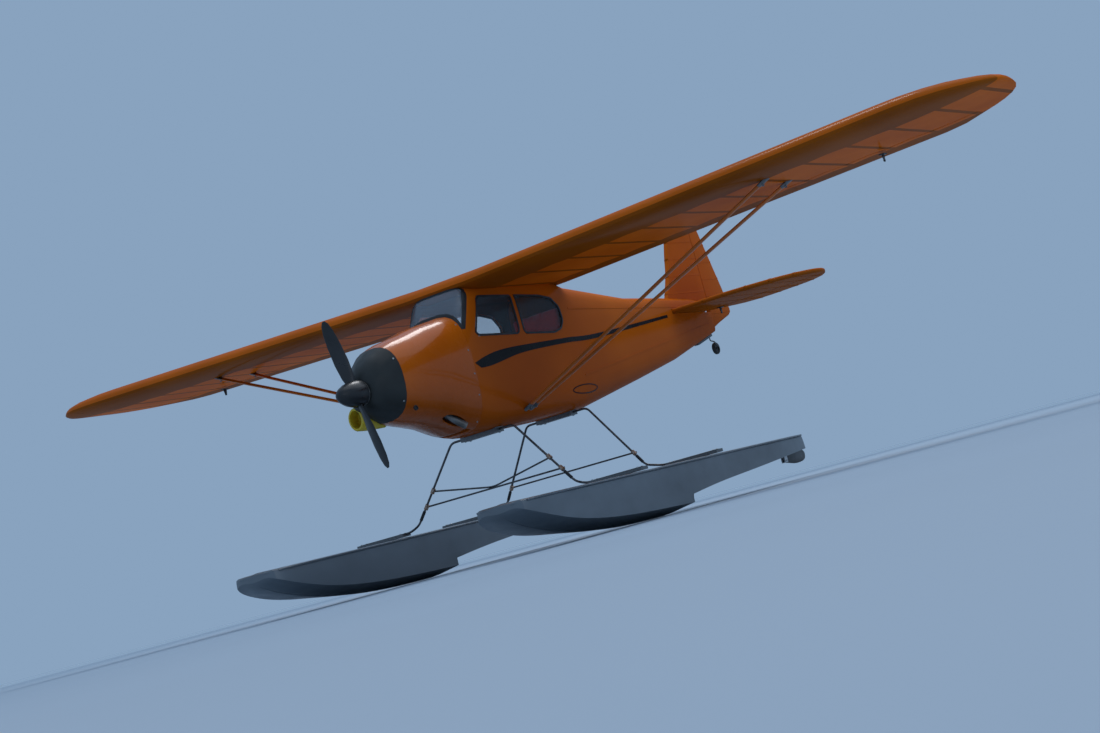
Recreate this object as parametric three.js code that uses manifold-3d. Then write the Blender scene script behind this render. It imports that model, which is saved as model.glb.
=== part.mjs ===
// A radio-controlled floatplane: a strut-braced high-wing model of two metres span on twin floats.
// X runs forward to the nose, Y to port and Z up. Sizes are in millimetres.
// Shapes are drawn from a datum on the centre line just behind the nose bowl's lip, and the group is moved at the end.
import * as THREE from "three";
import { mergeVertices } from "three/addons/utils/BufferGeometryUtils.js";
import Module from "manifold-3d";

const wasm = await Module();
wasm.setup();

// Fit between touching pieces.
const GAP = 0.3;

// Wing.
const SPAN = 2000;
const CHORD = 305;
const WING_LE_X = -226;
const WING_LE_Z = 132;
const WING_TE_Z = 118.5;
const WING_THICKNESS = 0.12;
const WING_CAMBER = 0.03;
const DIHEDRAL = 0.031;
const CENTRE_HALF = 66;
const AILERON_IN = 560;
const AILERON_OUT = 900;
const AILERON_HINGE_X = -466;

// Fuselage.
const FIREWALL_X = -191;
const FIREWALL_THICK = 4;
const SKIN = 2.5;

// Tail.
const STAB_Z = 52;
const STAB_THICK = 9;
const ELEVATOR_HINGE_X = -1108;
const RUDDER_HINGE_X = -1135;
const REAR_X = -1224;

// Floats.
const TRACK_HALF = 247;
const DECK_Z = -249;
const KEEL_Z = -328;
const STEP_X = -345;
const BOW_X = 104;
const STERN_X = -799;
const WIRE = 4;

// Propeller and spinner.
const HUB_X = 46;
const HUB_Z = -21;
const PROP_TURN = 12;
const SPINNER_RADIUS = 21;

const MATERIALS = {
  covering: { color: 0xe8590c, roughness: 0.35, metalness: 0 },
  darkTrim: { color: 0x2c302e, roughness: 0.4, metalness: 0 },
  blackPlastic: { color: 0x141414, roughness: 0.35, metalness: 0 },
  silver: { color: 0x8d949a, roughness: 0.35, metalness: 0.1 },
  steel: { color: 0x55585b, roughness: 0.35, metalness: 1 },
  alloy: { color: 0xa8abae, roughness: 0.4, metalness: 1 },
  glass: { color: 0xb9c4cc, roughness: 0.08, metalness: 0 },
  yellow: { color: 0xd8b021, roughness: 0.5, metalness: 0 },
  red: { color: 0xb02a22, roughness: 0.8, metalness: 0 },
  wood: { color: 0xb89467, roughness: 0.65, metalness: 0 },
  tyre: { color: 0x17171a, roughness: 0.85, metalness: 0 },
};

const aircraft = new THREE.Group();

function add(name, geometry, material) {
  const mesh = new THREE.Mesh(geometry, new THREE.MeshStandardMaterial(MATERIALS[material]));
  mesh.name = name;
  aircraft.add(mesh);
}

function v(x, y, z) {
  return new THREE.Vector3(x, y, z);
}

// A closed skin through rings of points of one count, with a flat fan on each end.
function loft(rings) {
  const count = rings[0].length;
  const points = rings.flat();
  const faces = [];
  for (let i = 0; i + 1 < rings.length; i++) {
    for (let j = 0; j < count; j++) {
      const a = i * count + j;
      const b = i * count + ((j + 1) % count);
      faces.push(a, b, b + count, a, b + count, a + count);
    }
  }
  for (const [ring, start, turned] of [[rings[0], 0, true], [rings.at(-1), (rings.length - 1) * count, false]]) {
    const middle = points.length;
    const centre = v(0, 0, 0);
    ring.forEach((p) => centre.add(p));
    points.push(centre.divideScalar(count));
    for (let j = 0; j < count; j++) {
      const a = start + j;
      const b = start + ((j + 1) % count);
      if (turned) faces.push(b, a, middle);
      else faces.push(a, b, middle);
    }
  }
  const geometry = new THREE.BufferGeometry().setFromPoints(points);
  geometry.setIndex(faces);
  return outward(geometry);
}

// Turns the faces of an indexed geometry round if they point inwards.
function outward(geometry) {
  const place = geometry.getAttribute("position");
  const index = geometry.index;
  const corner = (i) => new THREE.Vector3().fromBufferAttribute(place, index.getX(i));
  let volume = 0;
  for (let i = 0; i < index.count; i += 3) {
    volume += corner(i).dot(corner(i + 1).cross(corner(i + 2)));
  }
  if (volume < 0) index.array.reverse();
  return geometry;
}

// A geometry with its shared vertices merged, as one solid that can be cut and joined.
function solid(geometry) {
  const bare = new THREE.BufferGeometry();
  bare.setAttribute("position", geometry.getAttribute("position"));
  bare.setIndex(geometry.index);
  const merged = outward(mergeVertices(bare, 1e-4));
  return new wasm.Manifold(
    new wasm.Mesh({
      numProp: 3,
      vertProperties: new Float32Array(merged.attributes.position.array),
      triVerts: new Uint32Array(merged.index.array),
    }),
  );
}

function geometryOf(body) {
  const mesh = body.getMesh();
  const geometry = new THREE.BufferGeometry();
  geometry.setAttribute("position", new THREE.BufferAttribute(new Float32Array(mesh.vertProperties), 3));
  geometry.setIndex(new THREE.BufferAttribute(new Uint32Array(mesh.triVerts), 1));
  return geometry;
}

// The largest piece of a body that a cut has left in parts.
function largest(body) {
  return body.decompose().sort((a, b) => b.volume() - a.volume())[0];
}

// The same shape on the other side of the aircraft.
function mirrored(geometry) {
  return outward(geometry.clone().scale(1, -1, 1));
}

function box(x0, x1, y0, y1, z0, z1) {
  const geometry = new THREE.BoxGeometry(x1 - x0, y1 - y0, z1 - z0);
  geometry.translate((x0 + x1) / 2, (y0 + y1) / 2, (z0 + z1) / 2);
  return geometry;
}

// A flat outline in the side view, given as [x, z] corners, made thick from y0 to y1.
function sidePlate(outline, y0, y1) {
  const shape = new THREE.Shape(outline.map(([x, z]) => new THREE.Vector2(x, z)));
  const geometry = new THREE.ExtrudeGeometry(shape, { depth: y1 - y0, bevelEnabled: false });
  geometry.rotateX(Math.PI / 2);
  geometry.translate(0, y1, 0);
  return geometry;
}

// A flat outline seen from above, given as [x, y] corners, made thick from z0 to z1.
function planPlate(outline, z0, z1) {
  const shape = new THREE.Shape(outline.map(([x, y]) => new THREE.Vector2(x, y)));
  const geometry = new THREE.ExtrudeGeometry(shape, { depth: z1 - z0, bevelEnabled: false });
  geometry.translate(0, 0, z0);
  return geometry;
}

// A round bar between two points.
function bar(from, to, radius, sides = 12) {
  const along = new THREE.Vector3().subVectors(to, from);
  const geometry = new THREE.CylinderGeometry(radius, radius, along.length(), sides);
  geometry.applyQuaternion(new THREE.Quaternion().setFromUnitVectors(v(0, 1, 0), along.normalize()));
  geometry.translate((from.x + to.x) / 2, (from.y + to.y) / 2, (from.z + to.z) / 2);
  return geometry;
}

// A path that goes straight from each of its points to the next.
class WirePath extends THREE.Curve {
  constructor(points) {
    super();
    this.points = points;
  }

  getPoint(t, target = new THREE.Vector3()) {
    const place = Math.min(Math.max(t, 0), 1) * (this.points.length - 1);
    const i = Math.min(Math.floor(place), this.points.length - 2);
    return target.lerpVectors(this.points[i], this.points[i + 1], place - i);
  }

  getPointAt(u, target) {
    return this.getPoint(u, target);
  }

  getTangentAt(u, target) {
    return this.getTangent(u, target);
  }
}

// A bent wire through points, with a round bend of the given radius at each corner.
function bentWire(corners, radius, bend = 10, sides = 8) {
  const path = [];
  corners.forEach((p, i) => {
    if (i === 0 || i === corners.length - 1) {
      path.push(p);
      return;
    }
    const back = new THREE.Vector3().subVectors(corners[i - 1], p).normalize();
    const on = new THREE.Vector3().subVectors(corners[i + 1], p).normalize();
    const curve = new THREE.QuadraticBezierCurve3(
      p.clone().addScaledVector(back, bend),
      p,
      p.clone().addScaledVector(on, bend),
    );
    path.push(...curve.getPoints(4));
  });
  const section = new THREE.Shape();
  for (let k = 0; k < sides; k++) {
    const angle = (2 * Math.PI * k) / sides;
    const [a, b] = [radius * Math.cos(angle), radius * Math.sin(angle)];
    if (k === 0) section.moveTo(a, b);
    else section.lineTo(a, b);
  }
  return new THREE.ExtrudeGeometry(section, { steps: path.length - 1, extrudePath: new WirePath(path) });
}

// A smooth line through [a, b] points.
function smooth(points, steps) {
  return new THREE.CatmullRomCurve3(
    points.map(([a, b]) => v(a, b, 0)),
    false,
    "centripetal",
  )
    .getPoints(steps)
    .map((p) => [p.x, p.y]);
}

// Straight-line reading of a table column at a station, with the key falling or rising down the table.
function readTable(table, key, at, column) {
  const falling = table[1][key] < table[0][key];
  let i = 0;
  while (i + 2 < table.length && (falling ? table[i + 1][key] > at : table[i + 1][key] < at)) i++;
  const a = table[i];
  const b = table[i + 1];
  return a[column] + ((b[column] - a[column]) * (at - a[key])) / (b[key] - a[key]);
}

// The body's lines from the nose bowl's lip to the rudder post.
const BODY_LINES = [
  { x: 32, top: 3, bottom: -45, half: 24, square: 2.0 },
  { x: 27, top: 12, bottom: -52, half: 31, square: 2.1 },
  { x: 14, top: 26, bottom: -60, half: 40, square: 2.2 },
  { x: 2, top: 35, bottom: -66, half: 46, square: 2.3 },
  { x: -17, top: 47, bottom: -73, half: 52, square: 2.5 },
  { x: -40, top: 54, bottom: -78, half: 56, square: 2.6 },
  { x: -75, top: 61, bottom: -84, half: 59, square: 2.7 },
  { x: -115, top: 71, bottom: -92, half: 62, square: 2.8 },
  { x: -160, top: 79, bottom: -107, half: 65, square: 3.0 },
  { x: -191, top: 84, bottom: -113, half: 66, square: 3.2 },
  { x: -228, top: 129, bottom: -115, half: 66, square: 5.0 },
  { x: -300, top: 132, bottom: -114, half: 66, square: 6.0 },
  { x: -500, top: 127, bottom: -108, half: 66, square: 6.0 },
  { x: -545, top: 117, bottom: -105, half: 63, square: 4.5 },
  { x: -776, top: 89, bottom: -68, half: 43, square: 4.0 },
  { x: -929, top: 84, bottom: -42, half: 28, square: 4.0 },
  { x: -1053, top: 77, bottom: -14, half: 15, square: 4.0 },
  { x: RUDDER_HINGE_X + GAP, top: 68, bottom: 5, half: 7.5, square: 4.0 },
];
const BODY_SIDES = 28;

function bodyRing(x, offset) {
  const top = readTable(BODY_LINES, "x", x, "top") + offset;
  const bottom = readTable(BODY_LINES, "x", x, "bottom") - offset;
  const half = readTable(BODY_LINES, "x", x, "half") + offset;
  const square = readTable(BODY_LINES, "x", x, "square");
  const ring = [];
  for (let k = 0; k < BODY_SIDES; k++) {
    const angle = (2 * Math.PI * (k + 0.5)) / BODY_SIDES;
    const c = Math.cos(angle);
    const s = Math.sin(angle);
    const y = half * Math.sign(c) * Math.abs(c) ** (2 / square);
    const z = ((top - bottom) / 2) * Math.sign(s) * Math.abs(s) ** (2 / square);
    ring.push(v(x, y, (top + bottom) / 2 + z));
  }
  return ring;
}

// The body's shape between two stations, grown or shrunk all round by an offset.
function bodyLoft(front, back, offset) {
  const stations = [front];
  for (const line of BODY_LINES) {
    if (line.x < front - 0.5 && line.x > back + 0.5) stations.push(line.x);
  }
  stations.push(back);
  return loft(stations.map((x) => bodyRing(x, offset)));
}

// Wing section heights above and below the chord line, as shares of the chord.
function camber(t) {
  const p = 0.4;
  if (t < p) return (WING_CAMBER / p ** 2) * (2 * p * t - t * t);
  return (WING_CAMBER / (1 - p) ** 2) * (1 - 2 * p + 2 * p * t - t * t);
}

function halfThickness(t) {
  const root = 0.2969 * Math.sqrt(t) - 0.126 * t;
  return 5 * WING_THICKNESS * (root - 0.3516 * t ** 2 + 0.2843 * t ** 3 - 0.1015 * t ** 4) + 0.0026 * t;
}

const SECTION_SHARES = [0, 0.006, 0.025, 0.07, 0.15, 0.28, 0.45, 0.62, 0.78, 0.9, 1];

function wingHeight(x, side) {
  const t = Math.min(Math.max((WING_LE_X - x) / CHORD, 0), 1);
  const line = WING_LE_Z + (WING_TE_Z - WING_LE_Z) * t;
  return line + CHORD * (camber(t) + side * halfThickness(t));
}

// The rounded tip: how far the leading and the trailing edge lie behind the straight leading edge.
const TIP_LINES = [
  { y: 820, lead: 0, trail: 305 },
  { y: 860, lead: 1, trail: 295 },
  { y: 900, lead: 7, trail: 269 },
  { y: 930, lead: 20, trail: 250 },
  { y: 950, lead: 35, trail: 235 },
  { y: 970, lead: 52, trail: 215 },
  { y: 985, lead: 71, trail: 193 },
  { y: 994, lead: 88, trail: 171 },
  { y: 999, lead: 104, trail: 147 },
  { y: SPAN / 2, lead: 114, trail: 130 },
];

function ribRing(y) {
  const out = Math.max(Math.abs(y), TIP_LINES[0].y);
  const lead = WING_LE_X - readTable(TIP_LINES, "y", out, "lead");
  const trail = WING_LE_X - readTable(TIP_LINES, "y", out, "trail");
  const chord = lead - trail;
  const rise = DIHEDRAL * Math.max(Math.abs(y) - CENTRE_HALF, 0) + 0.03 * (WING_LE_X - lead);
  const ring = [];
  const point = (t, side) => {
    const x = lead - chord * t;
    const line = WING_LE_Z + (WING_TE_Z - WING_LE_Z) * ((WING_LE_X - x) / CHORD);
    ring.push(v(x, y, line + rise + chord * (camber(t) + side * halfThickness(t))));
  };
  SECTION_SHARES.forEach((t) => point(t, 1));
  [...SECTION_SHARES].reverse().slice(0, -1).forEach((t) => point(t, -1));
  return ring;
}

function wingLoft(from, to) {
  const stations = [from];
  for (const y of [300, AILERON_IN, ...TIP_LINES.map((line) => line.y)]) {
    if (y > from + 1 && y < to - 0.5) stations.push(y);
  }
  stations.push(to);
  return loft(stations.map((y) => ribRing(y)));
}

// The room the wing takes above the cabin, from just under its lower surface upwards.
function wingRoom(offset) {
  const outline = SECTION_SHARES.map((t) => {
    const x = WING_LE_X - CHORD * t;
    return [x, wingHeight(x, -1) - offset];
  });
  outline[0][0] += offset;
  outline.at(-1)[0] -= offset;
  outline.push([outline.at(-1)[0], 320]);
  outline.push([outline[0][0], 320]);
  return solid(sidePlate(outline, -120, 120));
}

// Windows as side-view outlines.
const WINDSCREEN = [[-150, 56], [-198, 52], [-238, 124], [-238, 200], [-150, 200]];
const DOOR_WINDOW = [[-216, 44], [-224, 37], [-340, 33], [-347, 40], [-347, 103], [-254, 107], [-247, 102]];
const REAR_WINDOW = [[-357, 39], [-363, 32], [-452, 28], [-476, 34], [-488, 50], [-486, 74], [-468, 92], [-432, 99],
  [-357, 103]];

function shrunk(outline, by) {
  const middle = outline.reduce((m, [x, z]) => [m[0] + x / outline.length, m[1] + z / outline.length], [0, 0]);
  return outline.map(([x, z]) => {
    const reach = Math.hypot(x - middle[0], z - middle[1]);
    const share = (reach - 1.5 * by) / reach;
    return [middle[0] + (x - middle[0]) * share, middle[1] + (z - middle[1]) * share];
  });
}

// A hollow shell with the firewall across its front; the nose bowl and cowl are pieces of their own.
function makeFuselage() {
  let shell = solid(bodyLoft(FIREWALL_X, RUDDER_HINGE_X + GAP, 0));
  const inside = solid(bodyLoft(FIREWALL_X - FIREWALL_THICK, -1030, -SKIN));
  shell = shell.subtract(inside).subtract(wingRoom(GAP));
  shell = shell.subtract(solid(sidePlate(WINDSCREEN, -90, 90)));
  for (const outline of [DOOR_WINDOW, REAR_WINDOW]) {
    shell = shell.subtract(solid(sidePlate(outline, 40, 90)));
    shell = shell.subtract(solid(sidePlate(outline, -90, -40)));
  }
  shell = shell.add(solid(bodyLoft(FIREWALL_X, FIREWALL_X - FIREWALL_THICK, -SKIN)));
  // The tailplane passes through a slot, and the elevator's joiner swings in a taller one behind it.
  const [low, high] = [STAB_Z - STAB_THICK / 2 - GAP, STAB_Z + STAB_THICK / 2 + GAP];
  shell = shell.subtract(solid(box(ELEVATOR_HINGE_X - 1, TAILPLANE_EDGE[0][0] + GAP, -60, 60, low, high)));
  shell = shell.subtract(solid(box(-1150, ELEVATOR_HINGE_X + 1, -60, 60, STAB_Z - 6, STAB_Z + 6)));
  add("fuselage", geometryOf(largest(shell)), "covering");
}

function makeWindows() {
  const outer = solid(bodyLoft(FIREWALL_X - GAP, -600, -0.5));
  const pane = outer.subtract(solid(bodyLoft(FIREWALL_X + 5, -640, -2)));
  const screen = pane.intersect(solid(sidePlate(shrunk(WINDSCREEN, GAP), -90, 90)));
  add("windscreen", geometryOf(largest(screen.subtract(wingRoom(2 * GAP)))), "glass");
  const rows = [
    { name: "door_window", outline: DOOR_WINDOW },
    { name: "rear_window", outline: REAR_WINDOW },
  ];
  for (const row of rows) {
    const side = pane.intersect(solid(sidePlate(shrunk(row.outline, GAP), 40, 90)));
    const geometry = geometryOf(largest(side));
    add(row.name + "_port", geometry, "glass");
    add(row.name + "_starboard", mirrored(geometry), "glass");
  }
}

// The cabin floor spans the hollow body, and the rear seat stands on it.
function makeCabin() {
  add("cabin_floor", box(-515, -200, -62.1, 62.1, -40, -37), "wood");
  const seat = solid(box(-513, -440, -50, 50, -36.7, 6));
  add("rear_seat", geometryOf(seat.add(solid(box(-513, -498, -50, 50, -36.7, 78)))), "red");
}

// The cowl is a thin tube with an air outlet under the firewall and a long slot for the exhaust on its port side.
function makeNose() {
  const cowl = solid(bodyLoft(-17, FIREWALL_X + GAP, 0)).subtract(solid(bodyLoft(-16, FIREWALL_X, -2)));
  const outlet = solid(box(-188, -172, -30, 30, -130, -95));
  const slot = [];
  for (let k = 0; k < 20; k++) {
    const angle = (2 * Math.PI * k) / 20;
    slot.push([-140 + 30 * Math.cos(angle), 36 + 9.5 * Math.sin(angle)]);
  }
  add("cowl", geometryOf(cowl.subtract(outlet).subtract(solid(planPlate(slot, -130, -70)))), "covering");
  let bowl = solid(bodyLoft(32, -17 + GAP, 0)).subtract(solid(bodyLoft(29, -22, -3)));
  bowl = bowl.subtract(solid(bar(v(40, 0, HUB_Z), v(20, 0, HUB_Z), 18, 28)));
  add("cowl_nose", geometryOf(bowl), "darkTrim");
}

// A yellow air scoop on the nose bowl's lower starboard edge, open at the front.
const SCOOP_LINES = [
  { x: 27, y: -28, z: -57, wide: 14, tall: 17 },
  { x: 24, y: -28, z: -57, wide: 16, tall: 19 },
  { x: 8, y: -28, z: -58, wide: 16, tall: 19 },
  { x: -14, y: -27, z: -61, wide: 13, tall: 16 },
  { x: -36, y: -25, z: -65, wide: 8, tall: 12 },
];

function makeScoop() {
  const ring = (line, by) => {
    const points = [];
    for (let k = 0; k < 20; k++) {
      const angle = (2 * Math.PI * k) / 20;
      const y = line.y + (line.wide + by) * Math.cos(angle);
      points.push(v(line.x, y, line.z + (line.tall + by) * Math.sin(angle)));
    }
    return points;
  };
  let scoop = solid(loft(SCOOP_LINES.map((line) => ring(line, 0))));
  const mouth = [{ ...SCOOP_LINES[0], x: 30 }, { ...SCOOP_LINES[0], x: 6 }];
  scoop = scoop.subtract(solid(loft(mouth.map((line) => ring(line, -2.5)))));
  scoop = scoop.subtract(solid(bodyLoft(32, FIREWALL_X, GAP)));
  add("nose_scoop", geometryOf(largest(scoop)), "yellow");
}

// Engine, shaft and exhaust as one block; the cylinder hangs down and the exhaust leaves it to port.
function makeEngine() {
  const z = HUB_Z;
  let engine = solid(box(FIREWALL_X + GAP, -186, -40, 40, z - 40, z + 45));
  engine = engine.add(solid(box(-187, -150, -20, 20, z - 20, z + 20)));
  engine = engine.add(solid(bar(v(-151, 0, z), v(-75, 0, z), 24, 20)));
  engine = engine.add(solid(bar(v(-110, 0, z - 10), v(-110, 0, -79), 21, 20)));
  engine = engine.add(solid(bar(v(-76, 0, z), v(HUB_X - 7, 0, z), 8, 16)));
  engine = engine.add(solid(bar(v(HUB_X - 12, 0, z), v(HUB_X - 7, 0, z), 13, 20)));
  const [start, end] = [v(-117, 12, -60), v(-156, 44, -104)];
  engine = engine.add(solid(bar(start, end, 6, 14)));
  const inner = new THREE.Vector3().lerpVectors(start, end, 0.6);
  const beyond = new THREE.Vector3().lerpVectors(start, end, 1.1);
  engine = engine.subtract(solid(bar(inner, beyond, 4.5, 14)));
  add("engine", geometryOf(engine), "alloy");
}

// One blade by stations along its radius: width and thickness of its section, and its angle.
const BLADE_STATIONS = [
  { r: 0, width: 13, thick: 8, angle: 48 },
  { r: 14, width: 14, thick: 7, angle: 45 },
  { r: 30, width: 20, thick: 5.2, angle: 34 },
  { r: 55, width: 24, thick: 4.2, angle: 24 },
  { r: 85, width: 23, thick: 3.2, angle: 17 },
  { r: 108, width: 19, thick: 2.4, angle: 14 },
  { r: 121, width: 13, thick: 1.8, angle: 12 },
  { r: 127, width: 5, thick: 1.2, angle: 12 },
];

function bladeRing(station) {
  const ring = [];
  const turn = (station.angle * Math.PI) / 180;
  for (let k = 0; k < 12; k++) {
    const angle = (2 * Math.PI * k) / 12;
    const across = (station.width / 2) * Math.cos(angle);
    const deep = (station.thick / 2) * Math.sin(angle);
    const y = across * Math.cos(turn) - deep * Math.sin(turn);
    const x = across * Math.sin(turn) + deep * Math.cos(turn);
    ring.push(v(x, y, -station.r));
  }
  return ring;
}

// Two blades on a hub, and a spinner that covers the hub and is notched for the blades.
function makePropeller() {
  const blade = loft(BLADE_STATIONS.map(bladeRing));
  const other = blade.clone().rotateX(Math.PI);
  const hub = bar(v(-6.7, 0, 0), v(6, 0, 0), 11, 20);
  const propeller = solid(hub).add(solid(blade)).add(solid(other));
  const profile = [[0, -8.5], [1, -8.5], [1, -1.5], [0.96, 9], [0.85, 20], [0.64, 31], [0.35, 40], [0, 44]];
  const nose = new THREE.LatheGeometry(profile.map(([r, x]) => new THREE.Vector2(r * SPINNER_RADIUS, x)), 28);
  nose.rotateZ(-Math.PI / 2);
  let spinner = solid(nose).subtract(solid(bar(v(-9, 0, 0), v(6.3, 0, 0), 14, 20)));
  spinner = spinner.subtract(solid(box(-9.5, 7.5, -8.5, 8.5, -40, 40)));
  const rows = [
    { name: "propeller", body: propeller },
    { name: "spinner", body: largest(spinner) },
  ];
  for (const row of rows) {
    const geometry = geometryOf(row.body);
    geometry.rotateX((PROP_TURN * Math.PI) / 180);
    geometry.translate(HUB_X, 0, HUB_Z);
    add(row.name, geometry, "blackPlastic");
  }
}

// Two panels on a centre section; each aileron is a wedge that comes to its hinge line, so it swings both ways.
function makeWing() {
  add("wing_centre", wingLoft(-CENTRE_HALF, CENTRE_HALF), "covering");
  const panel = solid(wingLoft(CENTRE_HALF + GAP, SPAN / 2));
  const hingeZ = (wingHeight(AILERON_HINGE_X, 1) + wingHeight(AILERON_HINGE_X, -1)) / 2;
  const hingeY = (AILERON_IN + AILERON_OUT) / 2;
  const half = (AILERON_OUT - AILERON_IN) / 2;
  const bay = box(-600, AILERON_HINGE_X + GAP, -half - 1, half + 1, -60, 60);
  const x = AILERON_HINGE_X;
  const wedge = sidePlate([[x, 0], [x - 30, 64], [-600, 64], [-600, -64], [x - 30, -64]], -half, half);
  for (const tool of [bay, wedge]) {
    tool.rotateX(Math.atan(DIHEDRAL));
    tool.translate(0, hingeY, hingeZ + DIHEDRAL * (hingeY - CENTRE_HALF));
  }
  const rows = [
    { name: "wing", body: panel.subtract(solid(bay)) },
    { name: "aileron", body: panel.intersect(solid(wedge)) },
  ];
  for (const row of rows) {
    const geometry = geometryOf(row.body);
    add(row.name + "_port", geometry, "covering");
    add(row.name + "_starboard", mirrored(geometry), "covering");
  }
}

// A streamlined bar between two points, broad fore and aft.
function streamBar(from, to, width, thick) {
  const along = new THREE.Vector3().subVectors(to, from).normalize();
  const chordwise = v(1, 0, 0).addScaledVector(along, -along.x).normalize();
  const across = new THREE.Vector3().crossVectors(along, chordwise);
  return loft(
    [from, to].map((p) => {
      const ring = [];
      for (let k = 0; k < 12; k++) {
        const angle = (2 * Math.PI * k) / 12;
        const point = p.clone().addScaledVector(chordwise, (width / 2) * Math.cos(angle));
        ring.push(point.addScaledVector(across, (thick / 2) * Math.sin(angle)));
      }
      return ring;
    }),
  );
}

// Each wing strut runs from the lower corner of the body to the wing's lower surface.
const STRUTS = [
  { name: "front", foot: -311, top: -318, topY: 598 },
  { name: "rear", foot: -326, top: -409, topY: 592 },
];
const STRUT_FOOT_Z = -97;

function makeStruts() {
  const body = solid(bodyLoft(FIREWALL_X, -800, GAP));
  const under = [400, 700].map((y) => ribRing(y).map((p) => v(p.x, p.y, p.z - GAP)));
  const over = under.map((ring) => ring.map((p) => v(p.x, p.y, p.z + 12)));
  const wing = solid(loft(under)).add(solid(loft(over)));
  for (const row of STRUTS) {
    const from = v(row.foot, 56, STRUT_FOOT_Z);
    const to = v(row.top, row.topY, wingHeight(row.top, -1) + DIHEDRAL * (row.topY - CENTRE_HALF));
    to.addScaledVector(new THREE.Vector3().subVectors(to, from).normalize(), 8);
    const strut = solid(streamBar(from, to, 12, 5)).subtract(body).subtract(wing);
    const geometry = geometryOf(largest(strut));
    add("wing_strut_" + row.name + "_port", geometry, "covering");
    add("wing_strut_" + row.name + "_starboard", mirrored(geometry), "covering");
  }
}

// The fin and rudder share one rounded outline in the side view, split at the rudder's hinge line.
const FIN_EDGE = [[-978, 78], [-1010, 130], [-1030, 178], [-1050, 214], [-1080, 241], [-1110, 254], [-1128, 256],
  [-1150, 250], [-1170, 230], [-1181, 200], [-1192, 165], [-1203, 130], [-1214, 95], [-1221, 65], [REAR_X, 48]];

// The tailplane and elevator share one outline seen from above, split at the elevator's hinge line.
const TAILPLANE_EDGE = [[-945, 0], [-946, 60], [-950, 150], [-960, 190], [-980, 235], [-1010, 270], [-1042, 290],
  [-1075, 296], [-1112, 287], [-1150, 260], [-1180, 220], [-1194, 170], [-1203, 120], [-1203, 90], [-1203, 0]];

function makeFin() {
  const edge = smooth(FIN_EDGE, 44);
  const front = edge.filter(([x]) => x > RUDDER_HINGE_X + 2);
  const top = front.at(-1)[1];
  front.push([RUDDER_HINGE_X + GAP, top], [RUDDER_HINGE_X + GAP, 60]);
  const fin = solid(sidePlate(front, -4.5, 4.5)).subtract(solid(bodyLoft(-900, RUDDER_HINGE_X, GAP)));
  add("fin", geometryOf(largest(fin.subtract(solid(box(-1200, -900, -60, 60, 0, STAB_Z + 9))))), "covering");

  const back = edge.filter(([x]) => x < RUDDER_HINGE_X - 2);
  const outline = [[RUDDER_HINGE_X, back[0][1]], ...back, [-1222, 41], [-1214, 36], [-1165, 22], [RUDDER_HINGE_X, 12]];
  const x = RUDDER_HINGE_X;
  const bevel = [[x + 3, 0], [x + 3, 40], [x - 24, 40], [x, 0], [x - 24, -40], [x + 3, -40]];
  const rudder = solid(sidePlate(outline, -4.5, 4.5)).subtract(solid(planPlate(bevel, -50, 350)));
  add("rudder", geometryOf(rudder), "covering");
}

function makeTailplane() {
  const port = smooth(TAILPLANE_EDGE, 56);
  const outline = [...port, ...port.slice(1, -1).reverse().map(([x, y]) => [x, -y])];
  const whole = solid(planPlate(outline, STAB_Z - STAB_THICK / 2, STAB_Z + STAB_THICK / 2));
  const x = ELEVATOR_HINGE_X;
  add("tailplane", geometryOf(whole.intersect(solid(box(x + GAP, -900, -320, 320, 0, 100)))), "covering");

  const [low, high] = [STAB_Z - 40, STAB_Z + 40];
  const wedge = sidePlate([[x, STAB_Z], [x - 20, high], [-1300, high], [-1300, low], [x - 20, low]], -320, 320);
  // The halves are cut away beside the rudder and the body, and a round joiner ties them together.
  const notch = [[x + 5, 13], [x - 3, 13], [-1170, 45], [-1190, 60], [-1200, 80], [-1204, 92], [-1260, 92]];
  const hole = [...notch, ...[...notch].reverse().map(([a, b]) => [a, -b])];
  const elevator = whole.intersect(solid(wedge)).subtract(solid(planPlate(hole, low, high)));
  const joiner = bar(v(x - 6, -19, STAB_Z), v(x - 6, 19, STAB_Z), 1.6, 10);
  add("elevator", geometryOf(elevator.add(solid(joiner))), "covering");
}

// A flat spring under the tail carries a wire leg that turns with the rudder, and a small wheel on it.
function makeTailWheel() {
  const x = -1112;
  const strip = [[-1050, -6], [-1050, -17], [-1054, -18.2], [-1117, -3.2], [-1117, 8]];
  const spring = solid(sidePlate(strip, -5, 5)).subtract(solid(bodyLoft(-900, RUDDER_HINGE_X, GAP)));
  add("tail_wheel_spring", geometryOf(largest(spring)), "steel");
  const wheel = v(x - 15, 0, -29);
  const path = [v(x, 0, -4.8), v(x, 0, -12), v(x - 1, 8, -16), v(wheel.x, 8, wheel.z), v(wheel.x, -4.5, wheel.z)];
  add("tail_wheel_leg", geometryOf(solid(bentWire(path, 1.2, 2.4, 8))), "steel");
  const profile = [[1.7, -3.4], [10.5, -3.4], [12.5, -1.6], [12.5, 1.6], [10.5, 3.4], [1.7, 3.4], [1.7, -3.4]];
  const tyre = new THREE.LatheGeometry(profile.map(([r, h]) => new THREE.Vector2(r, h)), 24);
  tyre.translate(wheel.x, wheel.y, wheel.z);
  add("tail_wheel", geometryOf(solid(tyre)), "tyre");
}

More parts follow.
